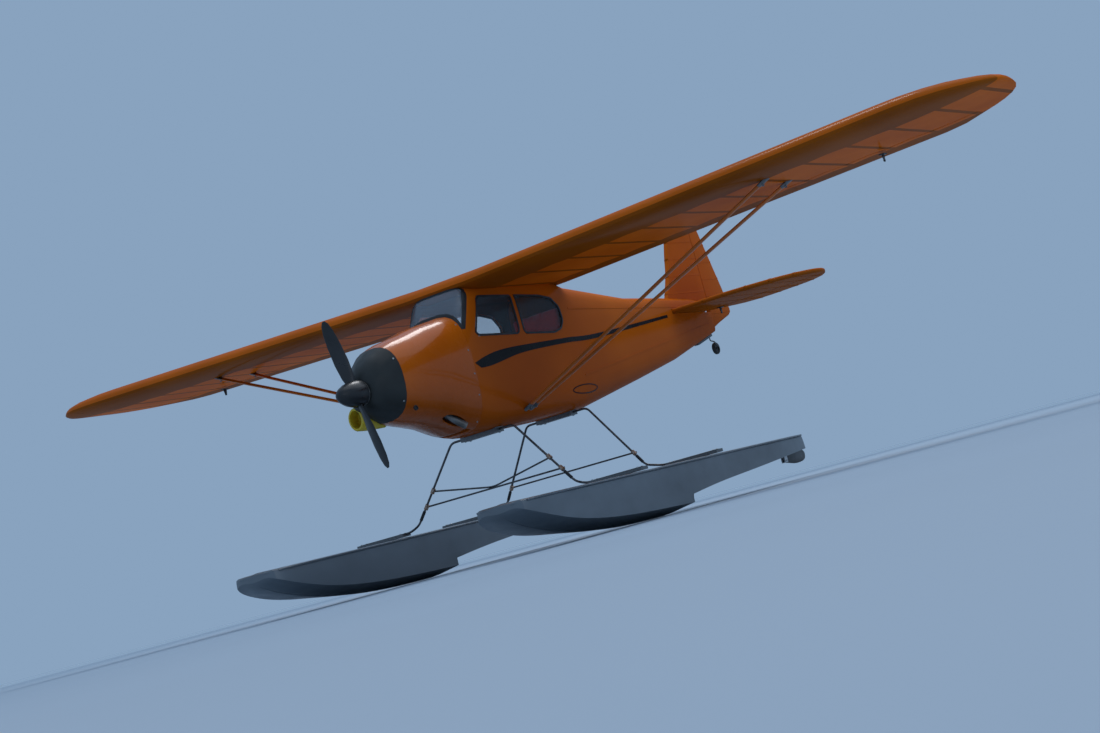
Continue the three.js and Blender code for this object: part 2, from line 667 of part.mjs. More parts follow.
// The float's lines: half width, keel, chine and deck heights, with the step two thirds of the way back.
const FLOAT_LINES = [
  { x: BOW_X, half: 30, keel: -262, chine: -258, deck: -251 },
  { x: 99, half: 43, keel: -268, chine: -264, deck: DECK_Z },
  { x: 86, half: 52, keel: -276, chine: -271, deck: DECK_Z },
  { x: 52, half: 59, keel: -288, chine: -283, deck: DECK_Z },
  { x: -8, half: 62, keel: -304, chine: -298, deck: DECK_Z },
  { x: -100, half: 63, keel: -319, chine: -309, deck: DECK_Z },
  { x: -210, half: 63, keel: KEEL_Z, chine: -314.5, deck: DECK_Z },
  { x: STEP_X, half: 63, keel: KEEL_Z, chine: -318, deck: DECK_Z },
  { x: STEP_X - 0.6, half: 63, keel: -310, chine: -305, deck: DECK_Z },
  { x: -443, half: 63, keel: -300, chine: -296, deck: DECK_Z },
  { x: -550, half: 62.5, keel: -294, chine: -291, deck: DECK_Z },
  { x: -657, half: 61, keel: -287.5, chine: -285, deck: DECK_Z },
  { x: -770, half: 58, keel: -280, chine: -278, deck: DECK_Z },
  { x: -792, half: 56, keel: -278.5, chine: -276.5, deck: DECK_Z },
  { x: STERN_X, half: 50, keel: -276, chine: -274, deck: DECK_Z - 1 },
];

function floatRing(line, y) {
  const { half, deck } = line;
  const round = Math.min(7, half * 0.4, (deck - line.chine) * 0.4);
  const side = [
    [half * 0.5, line.keel * 0.5 + line.chine * 0.5],
    [half, line.chine],
    [half * 0.985, deck - round],
    [half * 0.985 - round * 0.3, deck - round * 0.3],
    [half * 0.985 - round, deck],
    [half * 0.4, deck + 1],
  ];
  const ring = [v(line.x, y, line.keel)];
  side.forEach(([w, z]) => ring.push(v(line.x, y + w, z)));
  [...side].reverse().forEach(([w, z]) => ring.push(v(line.x, y - w, z)));
  return ring;
}

// The undercarriage: each bent wire runs under the belly, down to a knee and across both float decks.
const GEAR = [
  { name: "front", topX: -254, kneeX: -240, kneeY: 166, kneeZ: -236, footX: -238, bellyZ: -116.9 },
  { name: "rear", topX: -487, kneeX: -489, kneeY: 152, kneeZ: -235, footX: -489, bellyZ: -110.7 },
];
const TOP_Y = 66;
const FOOT_Y = 186;
const WIRE_END_Y = TRACK_HALF + 49;
const FOOT_Z = DECK_Z + 5.5;
const SPREADER_Z = -209;

function makeFloats() {
  const port = loft(FLOAT_LINES.map((line) => floatRing(line, TRACK_HALF)));
  add("float_port", port, "silver");
  add("float_starboard", mirrored(port), "silver");
  for (const row of GEAR) {
    const half = [
      v(row.topX, TOP_Y, row.bellyZ),
      v(row.kneeX, row.kneeY, row.kneeZ),
      v(row.footX, FOOT_Y, FOOT_Z),
      v(row.footX, WIRE_END_Y, FOOT_Z),
    ];
    const path = [...half].reverse().map((p) => v(p.x, -p.y, p.z)).concat(half);
    add("gear_wire_" + row.name, geometryOf(solid(bentWire(path, WIRE / 2, 8))), "steel");
  }
}

// A point on a leg at a given height.
function onLeg(row, z) {
  const top = v(row.topX, TOP_Y, row.bellyZ);
  return top.lerp(v(row.kneeX, row.kneeY, row.kneeZ), (z - row.bellyZ) / (row.kneeZ - row.bellyZ));
}

// A straight wire behind the legs ties them across, and the front pair has a shallow V above it.
function makeSpreaders() {
  const thin = 1.5;
  for (const row of GEAR) {
    const end = onLeg(row, SPREADER_Z);
    const x = end.x - WIRE / 2 - thin - 0.25;
    let wire = solid(bar(v(x, -end.y - 4, end.z), v(x, end.y + 4, end.z), thin, 8));
    if (row.name === "front") {
      const high = onLeg(row, SPREADER_Z + 23);
      high.x -= WIRE / 2 + thin + 0.25;
      high.y += 3;
      const upper = [v(high.x, -high.y, high.z), v(x, 0, end.z + 1.5), high];
      wire = wire.add(solid(bentWire(upper, thin, 12)));
    }
    add("spreader_" + row.name, geometryOf(wire), "steel");
  }
}

// A grooved plate under the belly holds each gear wire.
function makeClamps() {
  const body = solid(bodyLoft(FIREWALL_X, -800, GAP));
  for (const row of GEAR) {
    const groove = bar(v(row.topX, -50, row.bellyZ), v(row.topX, 50, row.bellyZ), WIRE / 2 + GAP, 12);
    const plate = solid(box(row.topX - 11, row.topX + 11, -38, 38, row.bellyZ - 5, row.bellyZ + 8));
    add("gear_clamp_" + row.name, geometryOf(largest(plate.subtract(solid(groove)).subtract(body))), "alloy");
  }
}

// A grooved strip across each deck takes the end of the wire.
function makeSaddles() {
  for (const row of GEAR) {
    const [y0, y1] = [TRACK_HALF - 52, TRACK_HALF + 52];
    const strip = solid(box(row.footX - 11, row.footX + 11, y0, y1, DECK_Z + 1.3, FOOT_Z + 1.3));
    const groove = bar(v(row.footX, y0 - 2, FOOT_Z), v(row.footX, WIRE_END_Y + GAP, FOOT_Z), WIRE / 2 + GAP, 12);
    const geometry = geometryOf(strip.subtract(solid(groove)));
    add("saddle_" + row.name + "_port", geometry, "alloy");
    add("saddle_" + row.name + "_starboard", mirrored(geometry), "alloy");
  }
}

// The water rudder steers on a post behind the port float and kicks up about a pin across its foot.
function makeWaterRudder() {
  const y = TRACK_HALF;
  const x = STERN_X - 7;
  let bracket = solid(box(STERN_X - 2.5, STERN_X - GAP, y - 10, y + 10, -273, -256));
  bracket = bracket.add(solid(box(x - 4, STERN_X - 1, y - 4, y + 4, -264, -261)));
  bracket = bracket.add(solid(box(x - 4, STERN_X - 1, y - 4, y + 4, -273, -270)));
  bracket = bracket.subtract(solid(bar(v(x, y, -300), v(x, y, -250), 1.9, 12)));
  add("water_rudder_bracket", geometryOf(bracket), "alloy");
  let post = solid(bar(v(x, y, -282), v(x, y, -257), 1.5, 12));
  post = post.add(solid(bar(v(x, y, -260.7), v(x, y, -258), 3, 12)));
  post = post.add(solid(box(x - 8, x + 3, y - 4, y + 4, -283, -275)));
  post = post.add(solid(box(x - 8, x + 3, y - 4, y - 1.5, -292, -280)));
  post = post.add(solid(box(x - 8, x + 3, y + 1.5, y + 4, -292, -280)));
  post = post.add(solid(bar(v(x - 3, y - 4, -288), v(x - 3, y + 4, -288), 1, 10)));
  add("water_rudder_post", geometryOf(post), "alloy");
  const edge = [[-2.8, 2.8], [0, 4], [5, 4], [16, 9], [44, 13], [74, 13], [84, 6], [80, -5], [46, -10], [12, -6],
    [0, -4], [-2.8, -2.8], [-4, 0]];
  const outline = smooth(edge, 36).map(([a, b]) => [x - 3 - a, -288 + b]);
  const pin = solid(bar(v(x - 3, y - 4, -288), v(x - 3, y + 4, -288), 1.3, 10));
  const blade = solid(sidePlate(outline, y - 1, y + 1)).subtract(pin);
  add("water_rudder_blade", geometryOf(blade), "blackPlastic");
}

makeFuselage();
makeWindows();
makeCabin();
makeNose();
makeScoop();
makeEngine();
makePropeller();
makeWing();
makeStruts();
makeFin();
makeTailplane();
makeTailWheel();
makeFloats();
makeSpreaders();
makeClamps();
makeSaddles();
makeWaterRudder();

// The origin is moved to the floor under the middle of the aircraft.
const FRONT_X = BOW_X;
aircraft.position.set(-(FRONT_X + REAR_X) / 2, 0, -KEEL_Z);

export default aircraft;
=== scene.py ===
import math

import bmesh
import bpy
from mathutils import Matrix, Vector


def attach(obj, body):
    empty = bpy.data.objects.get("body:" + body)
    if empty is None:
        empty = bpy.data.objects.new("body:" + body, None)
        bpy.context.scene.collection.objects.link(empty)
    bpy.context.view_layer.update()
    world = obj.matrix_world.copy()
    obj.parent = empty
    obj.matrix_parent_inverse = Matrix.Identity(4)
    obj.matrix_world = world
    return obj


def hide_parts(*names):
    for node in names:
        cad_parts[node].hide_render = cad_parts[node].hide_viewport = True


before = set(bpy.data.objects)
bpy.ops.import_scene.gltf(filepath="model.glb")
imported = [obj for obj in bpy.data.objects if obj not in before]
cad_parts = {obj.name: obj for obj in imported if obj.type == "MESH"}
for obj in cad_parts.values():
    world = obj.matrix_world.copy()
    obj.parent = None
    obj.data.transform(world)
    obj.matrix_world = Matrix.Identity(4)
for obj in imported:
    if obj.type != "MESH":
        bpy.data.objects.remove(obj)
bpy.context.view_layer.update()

# CAMERA
# It stands on the floor ahead of the port wing and looks along the photograph's line of sight,
# rolled by the bank that the aircraft has in the photograph.
SIGHT_AZIMUTH = math.radians(33)
SIGHT_DISTANCE = 3.6
LENS_HEIGHT = 0.015
LENS_MM = 66
NEAREST_SHOWN = 0.01
BANK = math.radians(15)
AIM = Vector((0.035, -0.01, 0.31))
bpy.ops.object.camera_add(
    location=(
        AIM.x + SIGHT_DISTANCE * math.cos(SIGHT_AZIMUTH),
        AIM.y + SIGHT_DISTANCE * math.sin(SIGHT_AZIMUTH),
        LENS_HEIGHT,
    )
)
camera = bpy.context.active_object
sight = (AIM - camera.location).to_track_quat("-Z", "Y").to_matrix()
camera.rotation_euler = (sight @ Matrix.Rotation(-BANK, 3, "Z")).to_euler()
camera.data.lens = LENS_MM
camera.data.clip_start = NEAREST_SHOWN
bpy.context.scene.camera = camera

# FLOOR
# A pale blue-grey painted floor, wide enough that its far edge runs into the sky-coloured room.
# The paint grows a little paler with distance, so no hard line shows behind the aircraft.
FLOOR_RADIUS = 60.0
FLOOR_NEAR = (0.44, 0.53, 0.62)
FLOOR_FAR = (0.95, 0.965, 0.975)
FLOOR_MOTTLE = 0.97
POOL_OF_LIGHT = (-1.2, -0.6, 0)
FADE_FROM, FADE_TO = 1.5, 9.0
TONE_STOPS = (0.35, 0.65)
BASE = "Base Color"


def drop_all():
    """Leaves no piece selected."""
    bpy.ops.object.select_all(action="DESELECT")


def alone(piece):
    """Leaves one piece selected and active."""
    drop_all()
    piece.select_set(True)
    bpy.context.view_layer.objects.active = piece


def open_edit():
    """Opens the active piece for editing."""
    bpy.ops.object.mode_set(mode="EDIT")


def close_edit():
    """Ends the editing of the open piece."""
    if bpy.context.mode != "OBJECT":
        bpy.ops.object.mode_set(mode="OBJECT")


def begin(name):
    """Names the primitive that was just added and opens it for editing, with its place in its mesh."""
    piece = bpy.context.active_object
    piece.name = piece.data.name = name
    alone(piece)
    bpy.ops.object.transform_apply(location=True, rotation=True, scale=True)
    open_edit()
    return piece


def add_node(material, kind, inputs=None, **settings):
    """A shader node with its settings and input values."""
    node = material.node_tree.nodes.new(kind)
    for key, value in settings.items():
        setattr(node, key, value)
    for key, value in (inputs or {}).items():
        node.inputs[key].default_value = value
    return node


def wire(material, source, target):
    """A link from one node's output to another's input, or to the main shader's input of that name."""
    if isinstance(target, str):
        target = material.node_tree.nodes["Principled BSDF"].inputs[target]
    material.node_tree.links.new(source, target)


def grain(material, scale, detail=3.0, stretch=(1, 1, 1)):
    """A noise on the piece's own coordinates, drawn out along an axis by a small stretch value."""
    place = add_node(material, "ShaderNodeTexCoord")
    fit = add_node(material, "ShaderNodeMapping", {"Scale": stretch})
    noise = add_node(material, "ShaderNodeTexNoise", {"Scale": scale, "Detail": detail})
    wire(material, place.outputs["Object"], fit.inputs["Vector"])
    wire(material, fit.outputs["Vector"], noise.inputs["Vector"])
    return noise.outputs["Fac"]


def between(material, value, start, end, low=0.0, high=1.0, **settings):
    """A value brought from one range to another, and held at the ends."""
    limits = {"From Min": start, "From Max": end, "To Min": low, "To Max": high}
    ramp = add_node(material, "ShaderNodeMapRange", limits, **settings)
    wire(material, value, ramp.inputs["Value"])
    return ramp.outputs["Result"]


def two_tone(material, value, dark, light):
    """A colour between two tones, chosen by a noise value."""
    ramp = add_node(material, "ShaderNodeValToRGB")
    for stop, position, tone in zip(ramp.color_ramp.elements, TONE_STOPS, (dark, light)):
        stop.position = position
        stop.color = (*tone, 1)
    wire(material, value, ramp.inputs["Fac"])
    return ramp.outputs["Color"]


def blend_tones(material, share, first, second):
    """A colour that passes from a first one to a second, which may be one tone, as a share goes from 0 to 1."""
    mix = add_node(material, "ShaderNodeMix", data_type="RGBA")
    for source, socket in ((share, mix.inputs[0]), (first, mix.inputs[6]), (second, mix.inputs[7])):
        if isinstance(source, tuple):
            socket.default_value = (*source, 1)
        else:
            wire(material, source, socket)
    return mix.outputs[2]


def new_material(name, sockets=None):
    """A material, with the values that are the same all over it set on its main shader's sockets."""
    material = bpy.data.materials.new(name)
    material.use_nodes = True
    for socket, value in (sockets or {}).items():
        material.node_tree.nodes["Principled BSDF"].inputs[socket].default_value = value
    return material


drop_all()
bpy.ops.mesh.primitive_circle_add(vertices=96, radius=FLOOR_RADIUS, fill_type="TRIFAN")
floor = begin("floor")
close_edit()
floor_paint = new_material("floor_paint", {"Roughness": 0.9})
floor_place = add_node(floor_paint, "ShaderNodeTexCoord")
floor_reach = add_node(floor_paint, "ShaderNodeVectorMath", {1: POOL_OF_LIGHT}, operation="DISTANCE")
wire(floor_paint, floor_place.outputs["Object"], floor_reach.inputs[0])
near_dark = tuple(FLOOR_MOTTLE * c for c in FLOOR_NEAR)
near_tone = two_tone(floor_paint, grain(floor_paint, 1.5), near_dark, FLOOR_NEAR)
fade = between(floor_paint, floor_reach.outputs["Value"], FADE_FROM, FADE_TO, interpolation_type="SMOOTHSTEP")
wire(floor_paint, blend_tones(floor_paint, fade, near_tone, FLOOR_FAR), BASE)
floor.data.materials.append(floor_paint)

# FUSELAGE SKIN
# A box frame of wood covered in glossy heat-shrunk film over a sheeted cabin front; the windows are cut
# through its sides and the wing sits in the saddle on its top.
FILM_ORANGE = (0.76, 0.156, 0.006)
FILM_SHADE = (0.64, 0.118, 0.005)
# Painted shade: the film and the cowl paint turn to these darker browns on faces that look down.
UNDERSIDE_PAINTED_SHADE = ((0.38, 0.072, 0.004), (0.47, 0.090, 0.005))
BODY_SHADE_TURN = (-0.6, 0.6)
NOISE_RANGE = (0.3, 0.7)
WRINKLES = ((14.0, 2.0, (0.3, 1, 1)), 0.0006, 0.35)
ORANGE_PEEL = 0.00008
SAME_POINT = 1e-5
SAME_PLANE = math.radians(0.4)


def turned(material, low, high, under, over):
    """A colour that passes from a tone of painted shade where the surface faces down to another where it faces
    up.
    """
    place = add_node(material, "ShaderNodeTexCoord")
    facing = add_node(material, "ShaderNodeSeparateXYZ")
    wire(material, place.outputs["Normal"], facing.inputs["Vector"])
    return blend_tones(material, between(material, facing.outputs["Z"], low, high), under, over)


def relief(material, value, depth, strength, under=None):
    """A bump of a depth in metres, over another bump where one is given."""
    bump = add_node(material, "ShaderNodeBump", {"Distance": depth, "Strength": strength})
    wire(material, value, bump.inputs["Height"])
    if under:
        wire(material, under, bump.inputs["Normal"])
    return bump.outputs["Normal"]


def make_finish(name, tones=None, gloss=None, bumps=(), sockets=None, below=None):
    """A finish for a slot: two mottled tones, a range of roughness, and bumps one over the other.

    Each is a row that starts with its grain, and rows with the same grain share it. The faces that look down
    may be given two darker tones of painted shade.
    """
    material = new_material(name, sockets)
    grains = {}
    for row in (tones, gloss, *bumps):
        if row and row[0] not in grains:
            grains[row[0]] = grain(material, *(row[0] if isinstance(row[0], tuple) else row[:1]))
    if tones:
        colour = two_tone(material, grains[tones[0]], *tones[1:])
        if below:
            colour = turned(material, *BODY_SHADE_TURN, two_tone(material, grains[tones[0]], *below), colour)
        wire(material, colour, BASE)
    if gloss:
        wire(material, between(material, grains[gloss[0]], *NOISE_RANGE, *gloss[1:]), "Roughness")
    normal = None
    for kind, depth, strength in bumps:
        normal = relief(material, grains[kind], depth, strength, normal)
    if normal:
        wire(material, normal, "Normal")
    return material


def pick_all():
    """Selects the whole of the open piece."""
    bpy.ops.mesh.select_all(action="SELECT")


def skin_of(node, name, join_flat=True):
    """A copy of a CAD node's surface with its doubled corners merged, open for editing."""
    piece = bpy.data.objects.new(name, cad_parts[node].data.copy())
    piece.data.name = name
    bpy.context.scene.collection.objects.link(piece)
    alone(piece)
    piece.data.materials.clear()
    bpy.ops.mesh.customdata_custom_splitnormals_clear()
    open_edit()
    pick_all()
    bpy.ops.mesh.remove_doubles(threshold=SAME_POINT)
    if join_flat:
        bpy.ops.mesh.dissolve_limited(angle_limit=SAME_PLANE)
    return piece


def finish_piece(piece, material, crease=40, body="airframe", node=None):
    """Smooths a piece up to an angle, gives it its finish, lets it ride on its body and stand for its node."""
    close_edit()
    alone(piece)
    bpy.ops.object.shade_smooth_by_angle(angle=math.radians(crease))
    piece.data.materials.clear()
    piece.data.materials.append(material)
    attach(piece, body)
    if node:
        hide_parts(node)


def dress(node, name, material, crease=40, body="airframe"):
    """Stands a clean copy of a CAD node's surface in for the node."""
    piece = skin_of(node, name)
    finish_piece(piece, material, crease, body, node)
    return piece


# The body film carries painted shade: its faces that look down are painted darker brown.
body_film = make_finish(
    "body_film",
    tones=((5.0, 2.0), FILM_SHADE, FILM_ORANGE),
    gloss=(30.0, 0.30, 0.46),
    bumps=(WRINKLES, ((700.0, 1.0), ORANGE_PEEL, 0.4)),
    sockets={"Specular IOR Level": 0.0, "Coat Weight": 0.18, "Coat Roughness": 0.16},
    below=UNDERSIDE_PAINTED_SHADE,
)
fuselage_skin = dress("fuselage", "fuselage_skin", body_film, crease=38)

# CABIN WINDOWS
# Thin clear acetate sheets, cut to their openings and glued in against a ledge. The windscreen is one sheet
# # bent round the front of the cabin; its acetate is paler and covers more, a painted reflection of the room's
# light.
PANES = ("windscreen", "door_window_port", "door_window_starboard", "rear_window_port", "rear_window_starboard")
ACETATE = ("acetate", (0.20, 0.24, 0.28), 0.11)
# Painted reflection: a paler, more covering copy of the acetate for the windscreen.
WINDSCREEN_PAINTED_GLARE = ("bent_acetate", (0.40, 0.44, 0.50), 0.26)


def make_acetate(name, tone, cover):
    """Clear sheet that covers a share of what lies behind it, with faint ripples and scuffs."""
    sockets = {BASE: (*tone, 1), "IOR": 1.46, "Alpha": cover, "Coat Weight": 0.4, "Coat Roughness": 0.03}
    ripples = ((12.0, 1.0), 0.0006, 0.4)
    return make_finish(name, gloss=(90.0, 0.03, 0.12), bumps=[ripples], sockets=sockets)


flat_sheet = make_acetate(*ACETATE)
glare_painted_sheet = make_acetate(*WINDSCREEN_PAINTED_GLARE)
panes = []
for node in PANES:
    sheet = glare_painted_sheet if node == "windscreen" else flat_sheet
    panes.append(dress(node, node + "_sheet", sheet))

# WINDOW FRAMES
# Narrow dark rubber beading, cut in one loop for each side window, glued over the edge of its opening and
# pressed flat on the covering and the sheet.
BEAD_WIDTH = 0.0035
BEAD_HEIGHT = 0.0012
BEAD_CORNER = 0.006
BEAD_STEPS = (0.012, 0.010)
DOOR_WINDOW = [
    (0.344, 0.372), (0.336, 0.365), (0.220, 0.361), (0.213, 0.368), (0.213, 0.431), (0.306, 0.435),
    (0.313, 0.430),
]
REAR_WINDOW = [
    (0.203, 0.367), (0.197, 0.360), (0.108, 0.356), (0.084, 0.362), (0.072, 0.378), (0.074, 0.402),
    (0.092, 0.420), (0.128, 0.427), (0.203, 0.431),
]
SIDE_OF_BODY = 0.09
SKIN_LIFT = 0.0002
OVER_THE_GAP = (1.016, 1, 1.026)


def pick(test, kind="FACE"):
    """Selects only the faces or corners whose middle and direction pass a test."""
    bpy.ops.mesh.select_mode(type=kind)
    bpy.ops.mesh.select_all(action="DESELECT")
    shape = bmesh.from_edit_mesh(bpy.context.edit_object.data)
    if kind == "FACE":
        rows = [(face, face.calc_center_median(), face.normal) for face in shape.faces]
    else:
        rows = [(corner, corner.co, corner.normal) for corner in shape.verts]
    for item, middle, direction in rows:
        if test(middle, direction):
            item.select_set(True)
    bmesh.update_edit_mesh(bpy.context.edit_object.data)


def face_out():
    """Turns all faces of the open piece outward."""
    pick_all()
    bpy.ops.mesh.normals_make_consistent(inside=False)


def bevel(width, segments, kind="EDGES", clamp=False):
    """Rounds the selected edges, or corners, of the open piece."""
    bpy.ops.mesh.bevel(offset=width, segments=segments, affect=kind, clamp_overlap=clamp)


def modify(piece, kind, **settings):
    """Adds a modifier with its settings to a piece, and applies it."""
    close_edit()
    alone(piece)
    modifier = piece.modifiers.new("shaping", kind)
    for key, value in settings.items():
        setattr(modifier, key, value)
    bpy.ops.object.modifier_apply(modifier="shaping")


def flat_face(name, corners):
    """A flat face with the given corners, open for editing."""
    drop_all()
    bpy.ops.mesh.primitive_circle_add(vertices=len(corners), radius=0.1, fill_type="NGON")
    for corner, place in zip(bpy.context.active_object.data.vertices, corners):
        corner.co = place
    return begin(name)


def side_sheet(name, outline):
    """A flat sheet beside the body with the given outline in the side view, open for editing."""
    return flat_face(name, [(x, SIDE_OF_BODY, z) for x, z in outline])


def slice_up(first, last, step, across=(1, 0, 0)):
    """Cuts the open piece across at even steps, so that it can follow a curved surface."""
    for k in range(1, int(abs(last - first) / step)):
        at = min(first, last) + k * step
        pick_all()
        bpy.ops.mesh.bisect(plane_co=[at * c for c in across], plane_no=across)


def lay_on_body(piece, height, lift=SKIN_LIFT, hug=True):
    """Presses a flat sheet on the body's side, draws it to the nearest skin, and thickens it outward."""
    straight_on = {"wrap_method": "PROJECT", "use_project_y": True, "project_limit": SIDE_OF_BODY}
    straight_on.update(use_positive_direction=False, use_negative_direction=True)
    modify(piece, "SHRINKWRAP", target=body_form, offset=lift, **straight_on)
    if hug:
        nearest = {"wrap_method": "NEAREST_SURFACEPOINT", "wrap_mode": "ABOVE_SURFACE"}
        modify(piece, "SHRINKWRAP", target=body_form, offset=lift, **nearest)
    open_edit()
    face_out()
    pick(lambda middle, normal: normal.y < 0)
    bpy.ops.mesh.flip_normals()
    modify(piece, "SOLIDIFY", thickness=height, offset=1)


def second_of(piece, name):
    """A second piece of the same form with a mesh of its own, open for editing."""
    alone(piece)
    bpy.ops.object.duplicate()
    second = bpy.context.active_object
    second.name = second.data.name = name
    second.parent = None
    open_edit()
    return second


def finish_pair(port, material, crease=40, body="airframe", node=None):
    """Finishes a port piece, and its mirrored twin on the starboard side."""
    finish_piece(port, material, crease, body, node)
    name, twin_body, twin_node = (
        text and text.replace("_port", "_starboard") for text in (port.name, body, node)
    )
    starboard = second_of(port, name)
    pick_all()
    bpy.ops.transform.resize(value=(1, -1, 1), center_override=(0, 0, 0))
    face_out()
    finish_piece(starboard, material, crease, twin_body, twin_node)


def join_pieces(pieces, name):
    """Joins several objects into one piece."""
    drop_all()
    for piece in pieces:
        piece.select_set(True)
    bpy.context.view_layer.objects.active = pieces[0]
    bpy.ops.object.join()
    pieces[0].name = pieces[0].data.name = name
    return pieces[0]


# The form that the side pieces are pressed on: the skin and the panes, each pane drawn over its seam.
body_forms = []
for source in [fuselage_skin, *panes]:
    form = bpy.data.objects.new("body_form", source.data.copy())
    bpy.context.scene.collection.objects.link(form)
    alone(form)
    if source in panes:
        corners = [corner.co for corner in form.data.vertices]
        open_edit()
        pick_all()
        bpy.ops.transform.resize(value=OVER_THE_GAP, center_override=sum(corners, Vector()) / len(corners))
        close_edit()
    body_forms.append(form)
body_form = join_pieces(body_forms, "body_form")

rubber = make_finish(
    "black_rubber",
    tones=(60.0, (0.012, 0.012, 0.013), (0.022, 0.022, 0.024)),
    gloss=(120.0, 0.45, 0.7),
    bumps=[(900.0, 0.00006, 0.6)],
)
for name, outline in (("door_window_bead_port", DOOR_WINDOW), ("rear_window_bead_port", REAR_WINDOW)):
    bead = side_sheet(name, outline)
    pick_all()
    bevel(BEAD_CORNER, 4, "VERTICES", True)
    pick_all()
    bpy.ops.mesh.inset(thickness=BEAD_WIDTH, use_outset=False)
    bpy.ops.mesh.delete(type="FACE")
    for along, step, across in zip(zip(*outline), BEAD_STEPS, ((1, 0, 0), (0, 0, 1))):
        slice_up(min(along), max(along), step, across)
    lay_on_body(bead, BEAD_HEIGHT, hug=False)
    finish_pair(bead, rubber, crease=50)

# SIDE STRIPE
# A dark dart cut from film and ironed on each side: a broad head under the windscreen that tapers to a line
# along the body to the tail.
DART_TOP = [
    (0.366, 0.3215), (0.335, 0.3300), (0.300, 0.3365), (0.260, 0.3400), (0.210, 0.3420), (0.080, 0.3455),
    (-0.040, 0.3485), (-0.356, 0.3735),
]
DART_FOOT = [
    (-0.356, 0.3680), (-0.040, 0.3405), (0.080, 0.3365), (0.180, 0.3320), (0.240, 0.3270), (0.285, 0.3195),
    (0.325, 0.3135), (0.352, 0.3120),
]
DART_STEP = 0.02
FILM_THICKNESS = 0.0003


def curved(points, steps=5):
    """A smooth line through the given points, with steps between each two."""
    line = []
    last = len(points) - 1
    for k in range(last):
        before, here, there, after = (Vector(points[min(max(k + j, 0), last)]) for j in (-1, 0, 1, 2))
        for step in range(steps):
            t = step / steps
            bend = (2 * before - 5 * here + 4 * there - after) * t**2
            bend += (3 * here - before - 3 * there + after) * t**3
            line.append(tuple(here + 0.5 * ((there - before) * t + bend)))
    return line + [points[-1]]


dark_film = make_finish(
    "dark_film",
    tones=(20.0, (0.009, 0.008, 0.009), (0.015, 0.014, 0.015)),
    gloss=(60.0, 0.22, 0.4),
    bumps=[WRINKLES],
    sockets={"Specular IOR Level": 0.05, "Coat Weight": 0.06, "Coat Roughness": 0.12},
)
dart = side_sheet("side_dart_port", curved(DART_TOP) + curved(DART_FOOT))
slice_up(DART_TOP[0][0], DART_TOP[-1][0], DART_STEP)
lay_on_body(dart, FILM_THICKNESS)
finish_pair(dart, dark_film, crease=50)

# BODY STRINGERS
# Thin square sticks of wood glued along the frames of the rear body, two on each side. They lift the film
# that is shrunk over them in long low ridges.
STRINGERS = {"upper": ((0.045, 0.398), (-0.545, 0.386)), "lower": ((0.045, 0.276), (-0.545, 0.349))}
RIDGE_HALF = 0.0016
RIDGE_RISE = 0.0007
RIDGE_STEP = 0.03
for name, ((x0, z0), (x1, z1)) in STRINGERS.items():
    line = [(x0, z0 - RIDGE_HALF), (x0, z0 + RIDGE_HALF), (x1, z1 + RIDGE_HALF), (x1, z1 - RIDGE_HALF)]
    ridge = side_sheet("stringer_" + name + "_port", line)
    slice_up(x1, x0, RIDGE_STEP)
    lay_on_body(ridge, RIDGE_RISE, 0.0)
    finish_pair(ridge, body_film, crease=60)

# BELLY PORT
# A plain oval ring cut from the dark film and ironed on low on each side of the body, round the edge of a
# hand hole that is covered over.
OVAL_MIDDLE = (0.052, 0.2515)
OVAL_HALF = (0.046, 0.0085)
OVAL_CORNERS = 40
OVAL_RING = 0.0018
OVAL_RISE = 0.0004
OVAL_STEP = 0.008
oval = []
for k in range(OVAL_CORNERS):
    turn = math.tau * k / OVAL_CORNERS
    reach = (math.cos(turn), math.sin(turn))
    oval.append([middle + half * share for middle, half, share in zip(OVAL_MIDDLE, OVAL_HALF, reach)])
ring = side_sheet("belly_oval_port", oval)
pick_all()
bpy.ops.mesh.inset(thickness=OVAL_RING)
bpy.ops.mesh.delete(type="FACE")
slice_up(OVAL_MIDDLE[0] - OVAL_HALF[0], OVAL_MIDDLE[0] + OVAL_HALF[0], OVAL_STEP)
lay_on_body(ring, OVAL_RISE)
finish_pair(ring, dark_film, crease=50)
bpy.data.objects.remove(body_form)

# WINDSCREEN STRIPS
# Strips of black tape, folded over the sheet's edge, that hold the windscreen down along its foot, its two posts
# and its head. Each is a slice of the sheet's own form, a little thicker than it.
STRIPS = {
    "foot": ((0.3646, 0, 0), (-1, 0, 0)),
    "post": ((0.3392, 0, 0.4338), (0.88, 0, 0.48)),
    "head": ((0.3310, 0, 0.4505), (0.5, 0, -0.87)),
}
TAPE = 0.0004


def saw_off(point, outward, close=True):
    """Cuts the open piece at a plane and takes off what is beyond it, and closes the cut where that is asked."""
    pick_all()
    bpy.ops.mesh.bisect(plane_co=point, plane_no=outward, use_fill=close, clear_outer=True)


for name, (point, outward) in STRIPS.items():
    strip = skin_of("windscreen", "strip_" + name)
    saw_off(point, Vector(outward).normalized())
    face_out()
    bpy.ops.transform.shrink_fatten(value=TAPE)
    finish_piece(strip, rubber, crease=50)

# CABIN LINING
# Dark grey card, glued to the cabin's inner walls and across its roof under the wing, so that little light
# # comes through from window to window. Its near-black tone is also painted shade for the dim cabin.
LINING_ENDS = [((0.046, 0, 0), (-1, 0, 0)), ((0.360, 0, 0), (1, 0, 0)), ((0, 0, 0.2920), (0, 0, -1))]
CARD = 0.0004
ROOF_MIDDLE = (0.188, 0, 0.4438)
ROOF_SIZE = (0.246, 0.107, 0.0008)
ROOF_EDGE = 0.0003
FACES_ACROSS = 0.6
CARD_FIBRE = (260.0, 5.0)


def add_block(name, middle, size, edge=0.0, segments=1):
    """A block round a point, with its edges bevelled where that is asked, open for editing."""
    drop_all()
    bpy.ops.mesh.primitive_cube_add(size=1, location=middle, scale=size)
    block = begin(name)
    if edge:
        pick_all()
        bevel(edge, segments)
    return block
